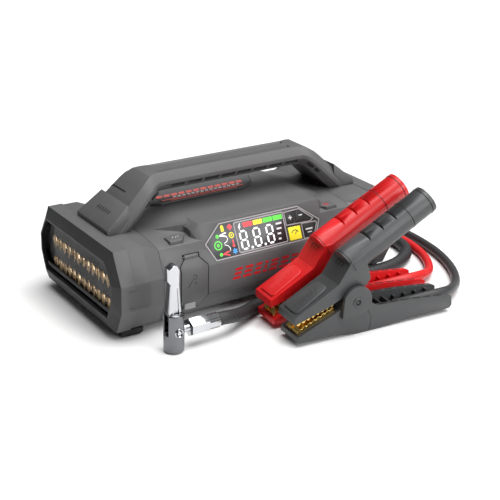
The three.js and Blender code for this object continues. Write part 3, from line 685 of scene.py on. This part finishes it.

# Dark pads on both sides of the handle where its slots are: painted shade in the slots
pads = []
for k in range(SLOT_COUNT):
    x = -60 + SLOT_PITCH * k
    pads.append([(x + 0.2, 99.4), (x + 13.3, 99.4), (x + 13.3, 102.4), (x + 0.2, 102.4)])
plates("handle_slot_shade_front", pads, 12.4, 12.8, TURNED_FRONT, SHADE_AND_SEAM_BLACK)
plates("handle_slot_shade_rear", pads, -12.8, -12.4, TURNED_FRONT, SHADE_AND_SEAM_BLACK)
# Dark strips on each leg where its slots are: painted shade in the slots
for side, name in ((-1, "left"), (1, "right")):
    for face, end in ((-1, "front"), (1, "rear")):
        under = axes_at((side * 84.9, face * 21.7, 92.6), (15.5 * side, 2.8 * face, -14),
                        (-0.409 * side, 0.792 * face, -0.453))
        openings = [strokes([(a, 0), (a + 7.5, 0)], 2.6)[0] for a in (-11.5, -1, 9.5)]
        plates(f"handle_{name}_leg_slot_shade_{end}", openings, -0.6, 0.35, under, SHADE_AND_SEAM_BLACK)

# ---------------------------------------------------------------- display
PANEL = Matrix.Translation((0, -66, 46.6)) @ Matrix.Rotation(math.atan2(17.2, 8), 4, "X")
OVERLAY_TOP, KEY_TOP = -0.2, 0.15
OVERLAY_OUTLINE = [(-54.5, 18.3), (-46.9, 3), (54.6, 3), (62, 17.8), (42, 32.8), (-37.8, 32.8)]


def on_overlay(name, outlines, material, height=0.1):
    return plates(name, outlines, OVERLAY_TOP - 0.02, OVERLAY_TOP + height, PANEL, material)


def seven_segments(x0, x1, low, high, t):
    """The seven bars of one figure eight."""
    mid = (low + high) / 2
    left, right = x0 + t / 2, x1 - t / 2
    lines = [((left, high - t / 2), (right, high - t / 2)), ((left, mid), (right, mid)),
             ((left, low + t / 2), (right, low + t / 2))]
    for x in (left, right):
        lines += [((x, mid), (x, high - t / 2)), ((x, low + t / 2), (x, mid))]
    out = []
    for a, b in lines:
        a, b = Vector(a), Vector(b)
        d = (b - a).normalized()
        n = Vector((-d.y, d.x)) * t / 2
        a, b = a + d * 0.6, b - d * 0.6
        k = d * t / 2
        out.append([a, a + k - n, b - k - n, b, b - k + n, a + k + n])
    return out


def make_display():
    lines = strokes(inset(OVERLAY_OUTLINE, 0.5), 0.95, True)
    lines += strokes([(-23, 30.4), (24.3, 30.4), (25.3, 29.4), (25.3, 6.2), (24.3, 5.2), (-22.6, 5.2),
                      (-23.6, 6.2), (-24, 29.4)], 0.9, True)
    lines += strokes([(27, 18.5), (52.4, 17.8), (55.2, 20), (42.6, 30.1), (27, 29.6)], 0.75, True)
    lines += strokes([(42.4, 4.2), (52.7, 4.2), (58.2, 15), (57, 16.7), (42.4, 17.2)], 0.75, True)
    on_overlay("display_frame_lines", lines, PRINT_GREY, 0.14)
    on_overlay("display_screen", [[(-23.6, 5.6), (24.9, 5.6), (24.9, 30), (-23.6, 30)]], SCREEN, 0.03)
    digits = []
    for x0, x1 in ((-20.8, -13.2), (-7.6, 0), (5.6, 13.2)):
        digits += seven_segments(x0, x1, 6.6, 23, 1.6)
    digits += [disc(-10.4, 7.4, 1.1), disc(2.8, 7.4, 1.1)]
    on_overlay("display_figures", digits, LIT_WHITE)
    on_overlay("display_bolt", [[(-18.6, 28.8), (-20.6, 25.6), (-19.4, 25.6), (-20.4, 22.8), (-17.8, 26.4),
                                 (-19, 26.4), (-17.6, 28.8)]], LIT_WHITE)
    for number, (x, material) in enumerate(((-15.4, LIT_RED), (-5.3, LIT_YELLOW), (4.8, LIT_GREEN),
                                            (14.9, LIT_GREEN)), 1):
        on_overlay(f"display_level_{number}",
                   [[(x, 25), (x + 9.2, 25), (x + 9.2, 28.9), (x, 28.9)]], material)
    units = [strokes([(16.6, s), (22.6 - d, s)], 1.5)[0] for s, d in ((21.8, 0), (17.6, 1), (13.4, 2.4),
                                                                     (9, 3.2))]
    on_overlay("display_unit_marks", units, PRINT_WHITE)
    on_overlay("icon_battery", [[(-37, 25.4), (-34.2, 25.4), (-34.2, 30), (-34.9, 30), (-34.9, 30.7),
                                 (-36.3, 30.7), (-36.3, 30), (-37, 30)]], LIT_YELLOW)
    on_overlay("icon_warning", [[(-28.4, 25.2), (-25.8, 27.9), (-28.4, 30.6), (-31, 27.9)]], LIT_RED)
    on_overlay("icon_tyre", strokes(disc(-28.2, 21, 2.1), 0.8, True) + [disc(-28.2, 21, 0.8, 10)], LIT_YELLOW)
    on_overlay("icon_hot", [disc(-27.8, 12.4, 1.3, 14), [(-28.3, 12.6), (-27.3, 12.6), (-27.3, 17.2),
                                                        (-28.3, 17.2)]], LIT_RED)
    cold = [strokes([(-27.6 + 2.3 * math.cos(a), 7.7 + 2.3 * math.sin(a)),
                     (-27.6 - 2.3 * math.cos(a), 7.7 - 2.3 * math.sin(a))], 0.9)[0]
            for a in (math.radians(d) for d in (30, 90, 150))]
    on_overlay("icon_cold", cold + [disc(-27.6, 7.7, 1.5, 6)], LIT_BLUE)
    green = [disc(-41.7, 22.3, 1.5), disc(-41.3, 7.3, 1.5), disc(-42.4, 15, 1.3)]
    green += strokes(disc(-42.4, 15, 3.3, 28), 0.9, True)
    on_overlay("icon_linked", green, LIT_GREEN)
    for name, material, y in (("icon_black_clamp", LIT_WHITE, 22.4), ("icon_red_clamp", LIT_RED, 7)):
        jaws = strokes([(-39.4, y), (-35.6, y + 1.2), (-33, y + 1.5)], 1.1)
        jaws += strokes([(-39.4, y), (-35.6, y - 0.6), (-33, y - 1.7)], 1.0)
        on_overlay(name, jaws, material)
    wires = strokes([(-33, 20.9), (-32.4, 19), (-33.4, 17), (-36.4, 15.6)], 0.45)
    wires += strokes([(-36.4, 14.6), (-33.2, 13.2), (-31.6, 11), (-31.8, 8.6)], 0.45)
    on_overlay("icon_wires", wires, LIT_WHITE)
    for name, body, outlines, material in (
            ("plus_mark", "plus", [strokes([(30.3, 24.2), (33.9, 24.2)], 0.9)[0],
                                   strokes([(32.1, 22.4), (32.1, 26)], 0.9)[0]], PRINT_WHITE),
            ("minus_mark", "minus", strokes([(41.2, 24.6), (44.8, 24.6)], 0.9), PRINT_WHITE),
            ("mode_mark", "mode", strokes(arc(34, 9.6, 3.6, 20, 160), 0.7)
             + strokes([(34, 9.6), (36, 12.6)], 0.6), DARK),
            ("pump_mark", "pump_key", strokes([(45.4, 11.6), (52.6, 11.6)], 1.3)
             + strokes([(46.8, 8.8), (51.2, 8.8)], 0.8), PRINT_WHITE)):
        plates(name, outlines, KEY_TOP - 0.02, KEY_TOP + 0.08, PANEL, material, body)


make_display()

# ---------------------------------------------------------------- buttons, label, front marks, door
BUTTON_TOP = 70.4
power = strokes(arc(75.8, -49.2, 2.0, 130, 410, 20), 0.8) + strokes([(75.8, -49), (75.8, -46.4)], 0.8)
plates("power_symbol", power, BUTTON_TOP - 0.02, BUTTON_TOP + 0.1, Matrix(), PRINT_RED, "power")
beam = [strokes([(-78.6 + 2.6 * k, -47.2 - 0.7 * (k % 2)), (-77.4 + 2.6 * k, -46.2 - 0.7 * (k % 2))], 0.7)[0]
        for k in range(3)]
plates("light_symbol", beam, BUTTON_TOP - 0.02, BUTTON_TOP + 0.1, Matrix(), PRINT_WHITE, "light")

LABEL = Matrix.Translation((0, 0, 80.4)) @ Matrix.Rotation(math.atan2(-1.1, 24), 4, "X")


def slanted(x0, x1, low, high, lean=1.0):
    return [(x0, low), (x1, low), (x1 + lean, high), (x0 + lean, high)]


# A near-black line along the label plate's left, front and right edges: painted shade at its edge
plates("label_rim_shade", strokes([(-57.5, 29), (-57.5, 1.6), (21.6, 1.6), (32, 5.9), (39.6, 14.4), (45, 26)], 0.5),
       0, 0.12, LABEL, SHADE_AND_SEAM_BLACK)
salmon = [slanted(-50, 17, 2.4, 4.1), slanted(-57, -33, 5.3, 7.6), slanted(4, 26, 5.3, 7.6)]
salmon += [slanted(-31 + 5.8 * k, -26.6 + 5.8 * k, 5.2, 7.7) for k in range(6)]
salmon += [slanted(-58 + 7.4 * k, -52.2 + 7.4 * k, 12.9, 18.4, 2.5) for k in range(12)]
plates("label_stripes", salmon, 0, 0.12, LABEL, PRINT_SALMON)
white = [slanted(-44 + 4.6 * k, -40.8 + 4.6 * k, 8.8, 11.7, 1.4) for k in range(15)]
plates("label_marks", white, 0, 0.12, LABEL, PRINT_WHITE)

MARKS = ((-31.8, 7.5), (-22, 8.5), (-11, 6.5), (-2, 4), (4.5, 8), (15, 8), (25.5, 7.5))  # start, width
chevrons = []
for x, wide in MARKS:
    chevrons.append(slanted(x, x + wide, 29.8, 31.9, 0.6))
    chevrons.append(slanted(x + 1.6, x + wide + 0.8, 33.6, 35.7, 0.6))
    chevrons.append(slanted(x + 2.6, x + wide + 1.9, 37.4, 39.5, 0.6))
plates("front_marks", chevrons, 0, 0.12, FRONT, PRINT_RED)

# The housing's front from the bottom up, in (y, z)
SECTION = [(-58.5, 6.5), (-66, 22.2), (-66, 46.6), (-56.6, 66.8)]


def front_y(z):
    for (y0, z0), (y1, z1) in zip(SECTION, SECTION[1:]):
        if z <= z1:
            return y0 + (y1 - y0) * (z - z0) / (z1 - z0)
    return SECTION[-1][0]


def wrapped(name, quads, outer, inner, material, body):
    """Outlines in (x, z) laid over the housing's front, which is curved up and down."""
    verts, faces = [], []
    for quad in quads:
        start = len(verts)
        for depth in (outer, inner):
            verts += [(x, front_y(z) + depth, z) for x, z in quad]
        faces += [tuple(start + i for i in (0, 1, 2, 3)), tuple(start + i for i in (7, 6, 5, 4))]
        faces += [(start + i, start + 4 + i, start + 4 + (i + 1) % 4, start + (i + 1) % 4) for i in range(4)]
    obj = mesh_object(name, verts, faces, material, body)
    fix_normals(obj)
    return obj


DOOR_PLAN = [(-80.6, 20), (-76.6, 13.3), (-63, 13.3), (-56, 23), (-56, 49), (-63, 56), (-75.6, 56),
             (-80.6, 51)]
# A near-black strip round the door, wider than the real gap: painted shade in the gap
rim = inset(DOOR_PLAN, -0.55)
dense = []
for (xa, za), (xb, zb) in zip(rim, rim[1:] + rim[:1]):
    steps = sorted({0.0} | {(z - za) / (zb - za) for z in (22.2, 46.6) if abs(zb - za) > 1 and
                            0 < (z - za) / (zb - za) < 1})
    dense += [(xa + (xb - xa) * t, za + (zb - za) * t) for t in steps]
wrapped("door_gap_shade", strokes(dense, 0.8, True), -0.05, 0.3, SHADE_AND_SEAM_BLACK, "pack")
prism("door_tab", [(-61.7, 17.3), (-63.2, 12.9), (-65.1, 13.1), (-65.3, 18.7)], -77.1, -66.9, ALONG_X,
      LIGHT_GREY, "door", 0.3)
icon = strokes([(-74.6, 33), (-70.6, 38.4)], 0.9) + strokes(arc(-68.6, 41, 1.9, 200, 500, 12), 0.7)
icon += [[(-68.6, 34.6), (-66.8, 34.6), (-67.7, 37.4)]]
plates("door_symbol", icon, 0.2, 0.3, FRONT, DARK, "door")

# ---------------------------------------------------------------- battery clamps
PIVOT_U, PIVOT_W = 52.5, 30
GRIP_LENGTH = 87.07
GRIP_NOTCHES, GRIP_SEAMS = (24.8, 38.5, 52.2), (1.6, 63.8, 83.6)
SPRING_RADIUS, SPRING_HALF_WIDTH, SPRING_WIRE = 5.3, 4.9, 0.85
JAW_CHANNEL = 1.7  # half its width
WEDGE_TURN = Matrix(((0, 1, 0, 0), (0, 0, 1, 0), (1, 0, 0, 0), (0, 0, 0, 1)))
ARM_BOTTOM = [(68, 0), (84, 0.8), (107, 2.4), (150, 3.2)]


def bottom_of_arm(u):
    for (u0, w0), (u1, w1) in zip(ARM_BOTTOM, ARM_BOTTOM[1:]):
        if u <= u1:
            return w0 + (w1 - w0) * (u - u0) / (u1 - u0)
    return ARM_BOTTOM[-1][1]


def make_clamp(colour, x, y, plastic):
    clamp = Matrix.Translation((x, y, 0)) @ Matrix.Rotation(math.radians(-5.5), 4, "Z")
    side = clamp @ TURNED_FRONT
    upper, lower = BODY[f"{colour}_upper_arm"], BODY[f"{colour}_lower_arm"]
    bolt = BODY[f"{colour}_pivot_bolt"]
    # Dark lines for the clamp's seams and ticks, and painted shade for its edge slots
    line = SHADE_AND_SEAM_BLACK if colour == "black" else SHADE_AND_SEAM_RED
    # raised plate and generic marks on the nose
    jaw = clamp @ axes_at((-3, 0, 25.8), (38.7, 0, 21.1), (-21.1, 0, 38.7))
    prism(f"{colour}_jaw_plate", [(5, -10), (33, -8), (36.5, -5), (36.5, 5), (33, 8), (5, 10), (3, 8),
                                  (3, -8)], -0.3, 1.3, jaw, plastic, upper, 0.5, 3)
    plates(f"{colour}_plate_marks", [slanted(8 + 4 * k, 9.6 + 4 * k, -2.2, 2.2, 1.2) for k in range(6)],
           1.25, 1.5, jaw, plastic, upper)
    # neck collar
    collar = clamp @ axes_at((35.7, 0, 46.9), (11.3, 0, 17.6), (-17.6, 0, 11.3))
    ticks = strokes([(17, -4.6), (17, 4.6)], 0.6)
    for v in (-4.3, 0, 4.3):
        ticks += strokes([(17, v), (12.6, v)], 0.6)
    plates(f"{colour}_collar_ticks", ticks, -0.05, 0.1, collar, line, upper)
    # grip: three slanted notches, thin seams, a rounded end
    grip = clamp @ axes_at((48, 0, 58.5), (-0.4881, 0, 0.8728), (0.8728, 0, 0.4881))
    for s in GRIP_NOTCHES:
        notch = [(s, 8.4), (s + 0.8, 8.4), (s + 2.2, 11.2), (s + 2.4, 16), (s - 0.5, 16)]
        tool = prism("tool", notch, -16, 16, grip @ WEDGE_TURN, None, None)
        carve(SKIN[f"{colour}_upper_arm"], tool)
    smooth(SKIN[f"{colour}_upper_arm"], 27)
    for number, s in enumerate(GRIP_SEAMS, 1):
        r = 12.6 - 0.4 * s / GRIP_LENGTH
        ring = [(0.93 * r * math.cos(a), 1.04 * r * math.sin(a)) for a in
                (2 * math.pi * k / 60 for k in range(60))]
        plates(f"{colour}_grip_seam_{number}", strokes(ring, 0.34, True), s - 0.22, s + 0.22, grip, line,
               upper)
    # pivot cheeks: a ring round a hole, with a dark disc in the hole as painted shade
    for name, place in (("front", side @ Matrix.Translation((PIVOT_U, PIVOT_W, 16.5))),
                        ("back", clamp @ Matrix.Translation((PIVOT_U, 16.5, PIVOT_W)) @ TURNED_BACK)):
        revolve(f"{colour}_{name}_pivot_ring", [(2.5, -0.3), (4.1, -0.3), (4.3, 0.3), (3.6, 0.8), (2.5, 0.5),
                                                (2.5, -0.3)], place, plastic, bolt, 40)
        plates(f"{colour}_{name}_pivot_hole_shade", [disc(0, 0, 2.5, 24)], -0.1, 0.1, place, SHADE_AND_SEAM_BLACK, bolt)
        revolve(f"{colour}_{name}_pivot_pin", [(0, 0.45), (0.9, 0.45), (1.2, 0.1), (1.2, -0.1)], place,
                plastic, bolt, 20)
    # lower arm: ribs across the open channel, slots along its edges, a seam, ridges underneath
    for number, u in enumerate((79, 87, 95), 1):
        rib = [(u - 0.8, 6.2), (u + 0.8, 6.2), (u + 0.8, 16), (u - 0.8, 16)]
        plates(f"{colour}_channel_rib_{number}", [rib], -9.9, 9.9, side, plastic, lower, 0.2)
    gussets = [[(u - 0.8, 6.2), (u + 0.8, 6.2), (u + 0.8, 15), (u - 0.8, 15)] for u in (106, 117, 128, 139)]
    for name, low, high in (("front", 6.2, 9.9), ("back", -9.9, -6.2)):
        plates(f"{colour}_{name}_gussets", gussets, low, high, side, plastic, lower)
    # Dark strokes along the edges where the slots are: painted shade in the slots
    for name, start, end in (("inner", (74, 21.5), (108, 20)), ("outer", (108, 20), (146, 16))):
        d = Vector((end[0] - start[0], 0, end[1] - start[1]))
        edge = clamp @ axes_at((start[0], 0, start[1]), d, (-d.z, 0, d.x))
        slots = []
        for v in (-11.4, 11.4):
            for k in range(3):
                slots += strokes([(3 + 11 * k, v), (11 + 11 * k, v)], 1.5)
        plates(f"{colour}_{name}_edge_slot_shade", slots, -0.05, 0.08, edge, line, lower)
    plates(f"{colour}_arm_seam", strokes(arc(50, 8, 19, -22, 38, 14), 0.45), 12.97, 13.08, side, line,
           lower)
    ridges = []
    for u in range(80, 147, 9):
        w = bottom_of_arm(u)
        ridges.append([(u - 2.4, w + 0.5), (u - 1, w - 0.6), (u + 1, w - 0.6), (u + 2.4, w + 0.5)])
    plates(f"{colour}_grip_ridges", ridges, -12.4, 12.4, side, plastic, lower)
    # jaws: two rows of teeth with a channel between them
    for name, outline in (("lower", [(1.5, 10.4), (36.5, 25.7), (36.5, 31), (1.5, 16)]),
                          ("upper", [(0.5, 13), (36.5, 26), (36.5, 30.4), (0.5, 17.7)])):
        tool = prism("tool", outline, -JAW_CHANNEL, JAW_CHANNEL, side, None, None)
        carve(SKIN[f"{colour}_{name}_jaw"], tool)
        smooth(SKIN[f"{colour}_{name}_jaw"], 25)
    # torsion spring
    coil = [clamp @ Vector((PIVOT_U + SPRING_RADIUS * math.cos(t * 0.35),
                            SPRING_HALF_WIDTH * (t / 45 - 1),
                            PIVOT_W + SPRING_RADIUS * math.sin(t * 0.35))) for t in range(91)]
    wire = tube(f"{colour}_spring_coil", coil, lambda s, a: SPRING_WIRE, 10, STEEL, BODY[f"{colour}_spring"])
    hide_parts(f"{colour}_spring")


make_clamp("black", -21.2, -131.5, CLAMP_BLACK)
make_clamp("red", -18.6, -95.9, CLAMP_RED)

# ---------------------------------------------------------------- tyre chuck
CHUCK_X, CHUCK_Y, CHUCK_PIN_Z = -106.5, -97, 18
# Chrome rings round the pin holes; a dark disc in each hole is painted shade
for name, place in (
        ("front", Matrix.Translation((CHUCK_X, CHUCK_Y - 8.1, CHUCK_PIN_Z)) @ TURNED_FRONT),
        ("back", Matrix.Translation((CHUCK_X, CHUCK_Y + 8.1, CHUCK_PIN_Z)) @ TURNED_BACK)):
    revolve(f"chuck_{name}_pin_ring", [(2.7, -1.2), (3.8, -1.2), (3.8, 0.2), (3.3, 0.6), (2.7, 0.2),
                                       (2.7, -1.2)], place, CHROME, "pack", 32)
    plates(f"chuck_{name}_pin_hole_shade", [disc(0, 0, 2.7, 24)], -0.9, -0.05, place, SHADE_AND_SEAM_BLACK)
for low, high in ((99.7, 101.5), (92.5, 94.3)):
    tool = prism("tool", [(-2.2, 29), (2.7, 29), (1.2, 54), (-1.6, 54)], low, high,
                 Matrix.Translation((CHUCK_X, 0, 0)) @ TURNED_FRONT, None, None)
    carve(SKIN["chuck_lever"], tool)
smooth(SKIN["chuck_lever"], 30)

# ---------------------------------------------------------------- underside and sockets
SCREWS = [(x, y) for x in (-82, 82) for y in (-46, 46)]
# Dark discs round the screw heads: painted shade in the screw wells
plates("underside_screw_well_shade", [disc(x, y, 3, 24) for x, y in SCREWS], 6.42, 6.55, Matrix(), SHADE_AND_SEAM_BLACK)
plates("underside_screw_heads", [disc(x, y, 1.9, 6) for x, y in SCREWS], 6.3, 6.5, Matrix(), STEEL)
for side, name in ((-1, "left"), (1, "right")):
    face = axes_at((side * 114.6, 0, 86.1), (0, 1, 0), (side * 16.5, 0, 20.4))
    marks = [slanted(-10.5 + 3.6 * k, -8.8 + 3.6 * k, -1.7, 1.7, 0.9) for k in range(6)]
    plates(f"{name}_socket_marks", marks, -0.1, 0.14, face, DARK)

# ---------------------------------------------------------------- cords
HOSE_ROUTE = [(142.6, 16, 26.5), (147, 16, 26.4), (154, 14.6, 24.6), (161.6, 10.8, 20.9),
    (168.6, 4.6, 16.1), (174.4, -4, 11.6), (178.8, -14, 8.2), (181.3, -24, 6.3), (181.5, -34.4, 5.7),
    (178.6, -44.4, 5.7), (172.8, -53.2, 5.7), (164.6, -60.4, 5.7), (154.4, -66, 5.7),
    (143, -69.8, 5.7), (130, -71.5, 5.7), (115, -71.6, 5.7), (95, -71.2, 5.7), (72, -70.7, 5.7),
    (48, -70.4, 5.7), (25, -70.4, 5.7), (8, -71.2, 5.7), (-5, -73, 5.8), (-15, -76, 6.1),
    (-24, -80.4, 7), (-33, -85.6, 8.9), (-42, -90.8, 11.5), (-51, -94.9, 14), (-60, -96.8, 15.8),
    (-66.4, -97, 16)]
RED_ROUTE = [(150.6, 33, 26.5), (155, 33, 26.4), (163, 32, 24.7), (172, 29, 20.4), (180, 23.6, 15),
    (186, 15.6, 10.2), (190, 5.4, 6.5), (192, -6, 4.6), (192.3, -18, 4.2), (191.8, -30, 4.2),
    (190.2, -42, 4.2), (187, -55.4, 4.2), (181.6, -69.4, 4.2), (173.4, -83, 4.4), (162.6, -95, 5.4),
    (150.4, -103.6, 8.2), (138.4, -108.8, 11.2), (126, -109.9, 12.3), (112, -108.6, 12),
    (98, -107.2, 11.6), (80, -105.5, 11.4)]
BLACK_ROUTE = [(150.6, 48, 26.5), (155, 48, 26.4), (164, 47.2, 24.6), (174, 44.4, 20.2),
    (184, 39, 15), (192.6, 31, 10.4), (199.2, 20.6, 6.7), (203.4, 8.4, 4.7), (205.4, -5, 4.2),
    (205.8, -19, 4.2), (205, -34, 4.2), (203, -50, 4.2), (199.4, -67, 4.2), (193.6, -84, 4.2),
    (185.4, -101, 4.2), (174.8, -116.6, 4.4), (161.6, -129.8, 5.8), (147.6, -139.6, 8.8),
    (135, -145.2, 11.6), (123, -145.7, 12.4), (108, -144.1, 12), (94, -142.7, 11.6), (77, -141.1, 11.4)]


def make_cord(name, node, route, radius, sides, step, material):
    path = smooth_route(route, step)
    obj = tube(name, path, radius, sides, material, "pack")
    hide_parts(node)
    return obj


BRAID_STRANDS, BRAID_PITCH = 12, 4.2


def braid_radius(s, angle):
    """Two sets of strands wound opposite ways, one over the other by turns."""
    turn = 2 * math.pi * s / BRAID_PITCH
    one = math.sin(BRAID_STRANDS * angle / 2 + turn)
    two = math.sin(BRAID_STRANDS * angle / 2 - turn)
    return 5.45 + 0.14 * max(one, two)


make_cord("air_hose_braid", "air_hose", HOSE_ROUTE, braid_radius, 60, 0.8, BRAID)
make_cord("red_cable_sheath", "red_cable", RED_ROUTE, lambda s, a: 4.0, 28, 2.0, CABLE_RED)
make_cord("black_cable_sheath", "black_cable", BLACK_ROUTE, lambda s, a: 4.0, 28, 2.0, CABLE_BLACK)


# ---------------------------------------------------------------- floor and light
def make_world():
    """A studio that is bright above and to the right and dim to the left and along the horizon."""
    world = bpy.data.worlds.new("studio")
    bpy.context.scene.world = world
    world.use_nodes = True
    nodes, links = world.node_tree.nodes, world.node_tree.links
    coords = nodes.new("ShaderNodeTexCoord")
    split = nodes.new("ShaderNodeSeparateXYZ")
    links.new(coords.outputs["Generated"], split.inputs["Vector"])
    parts = []
    for axis, stops in (("Z", ((0.0, 0.05), (0.12, 0.1), (0.3, 0.75), (0.5, 0.3), (0.9, 1.0))),
                        ("X", ((0.0, 0.12), (0.35, 0.2), (0.7, 0.9), (1.0, 1.0)))):
        source = split.outputs[axis]
        if axis == "X":
            remap = nodes.new("ShaderNodeMapRange")
            remap.inputs["From Min"].default_value = -1.0
            links.new(source, remap.inputs["Value"])
            source = remap.outputs["Result"]
        ramp = nodes.new("ShaderNodeValToRGB")
        ramp.color_ramp.elements[0].position = stops[0][0]
        ramp.color_ramp.elements[0].color = (stops[0][1],) * 3 + (1,)
        ramp.color_ramp.elements[1].position = stops[-1][0]
        ramp.color_ramp.elements[1].color = (stops[-1][1],) * 3 + (1,)
        for position, value in stops[1:-1]:
            ramp.color_ramp.elements.new(position).color = (value,) * 3 + (1,)
        links.new(source, ramp.inputs["Fac"])
        parts.append(ramp.outputs["Color"])
    product = nodes.new("ShaderNodeVectorMath")
    product.operation = "MULTIPLY"
    links.new(parts[0], product.inputs[0])
    links.new(parts[1], product.inputs[1])
    links.new(product.outputs["Vector"], nodes["Background"].inputs["Color"])
    nodes["Background"].inputs["Strength"].default_value = 0.6


def make_stage():
    """A pale floor, a soft lamp in front and a wide light from above."""
    floor_mat = Finish("floor", (0.84, 0.84, 0.84, 1), 0.8).mat
    floor = mesh_object("floor", [(-3000, -3000, -0.4), (3000, -3000, -0.4), (3000, 3000, -0.4),
                                  (-3000, 3000, -0.4)], [(0, 1, 2, 3)], floor_mat, None)
    place, aim = Vector((0.5, -1.4, 0.75)), Vector((0, 0, 0.05))
    data = bpy.data.lights.new("front_light", "AREA")
    data.size = 0.9
    data.energy = 13
    lamp = bpy.data.objects.new("front_light", data)
    lamp.location = place
    lamp.rotation_euler = (aim - place).to_track_quat("-Z", "Y").to_euler()
    bpy.context.scene.collection.objects.link(lamp)
    data = bpy.data.lights.new("top_light", "SUN")
    data.energy = 3.9
    data.angle = math.radians(55)
    lamp = bpy.data.objects.new("top_light", data)
    lamp.rotation_euler = Vector((0.16, -0.06, 1)).to_track_quat("Z", "Y").to_euler()
    bpy.context.scene.collection.objects.link(lamp)


make_world()
make_stage()
bpy.context.scene.view_settings.view_transform = "Standard"
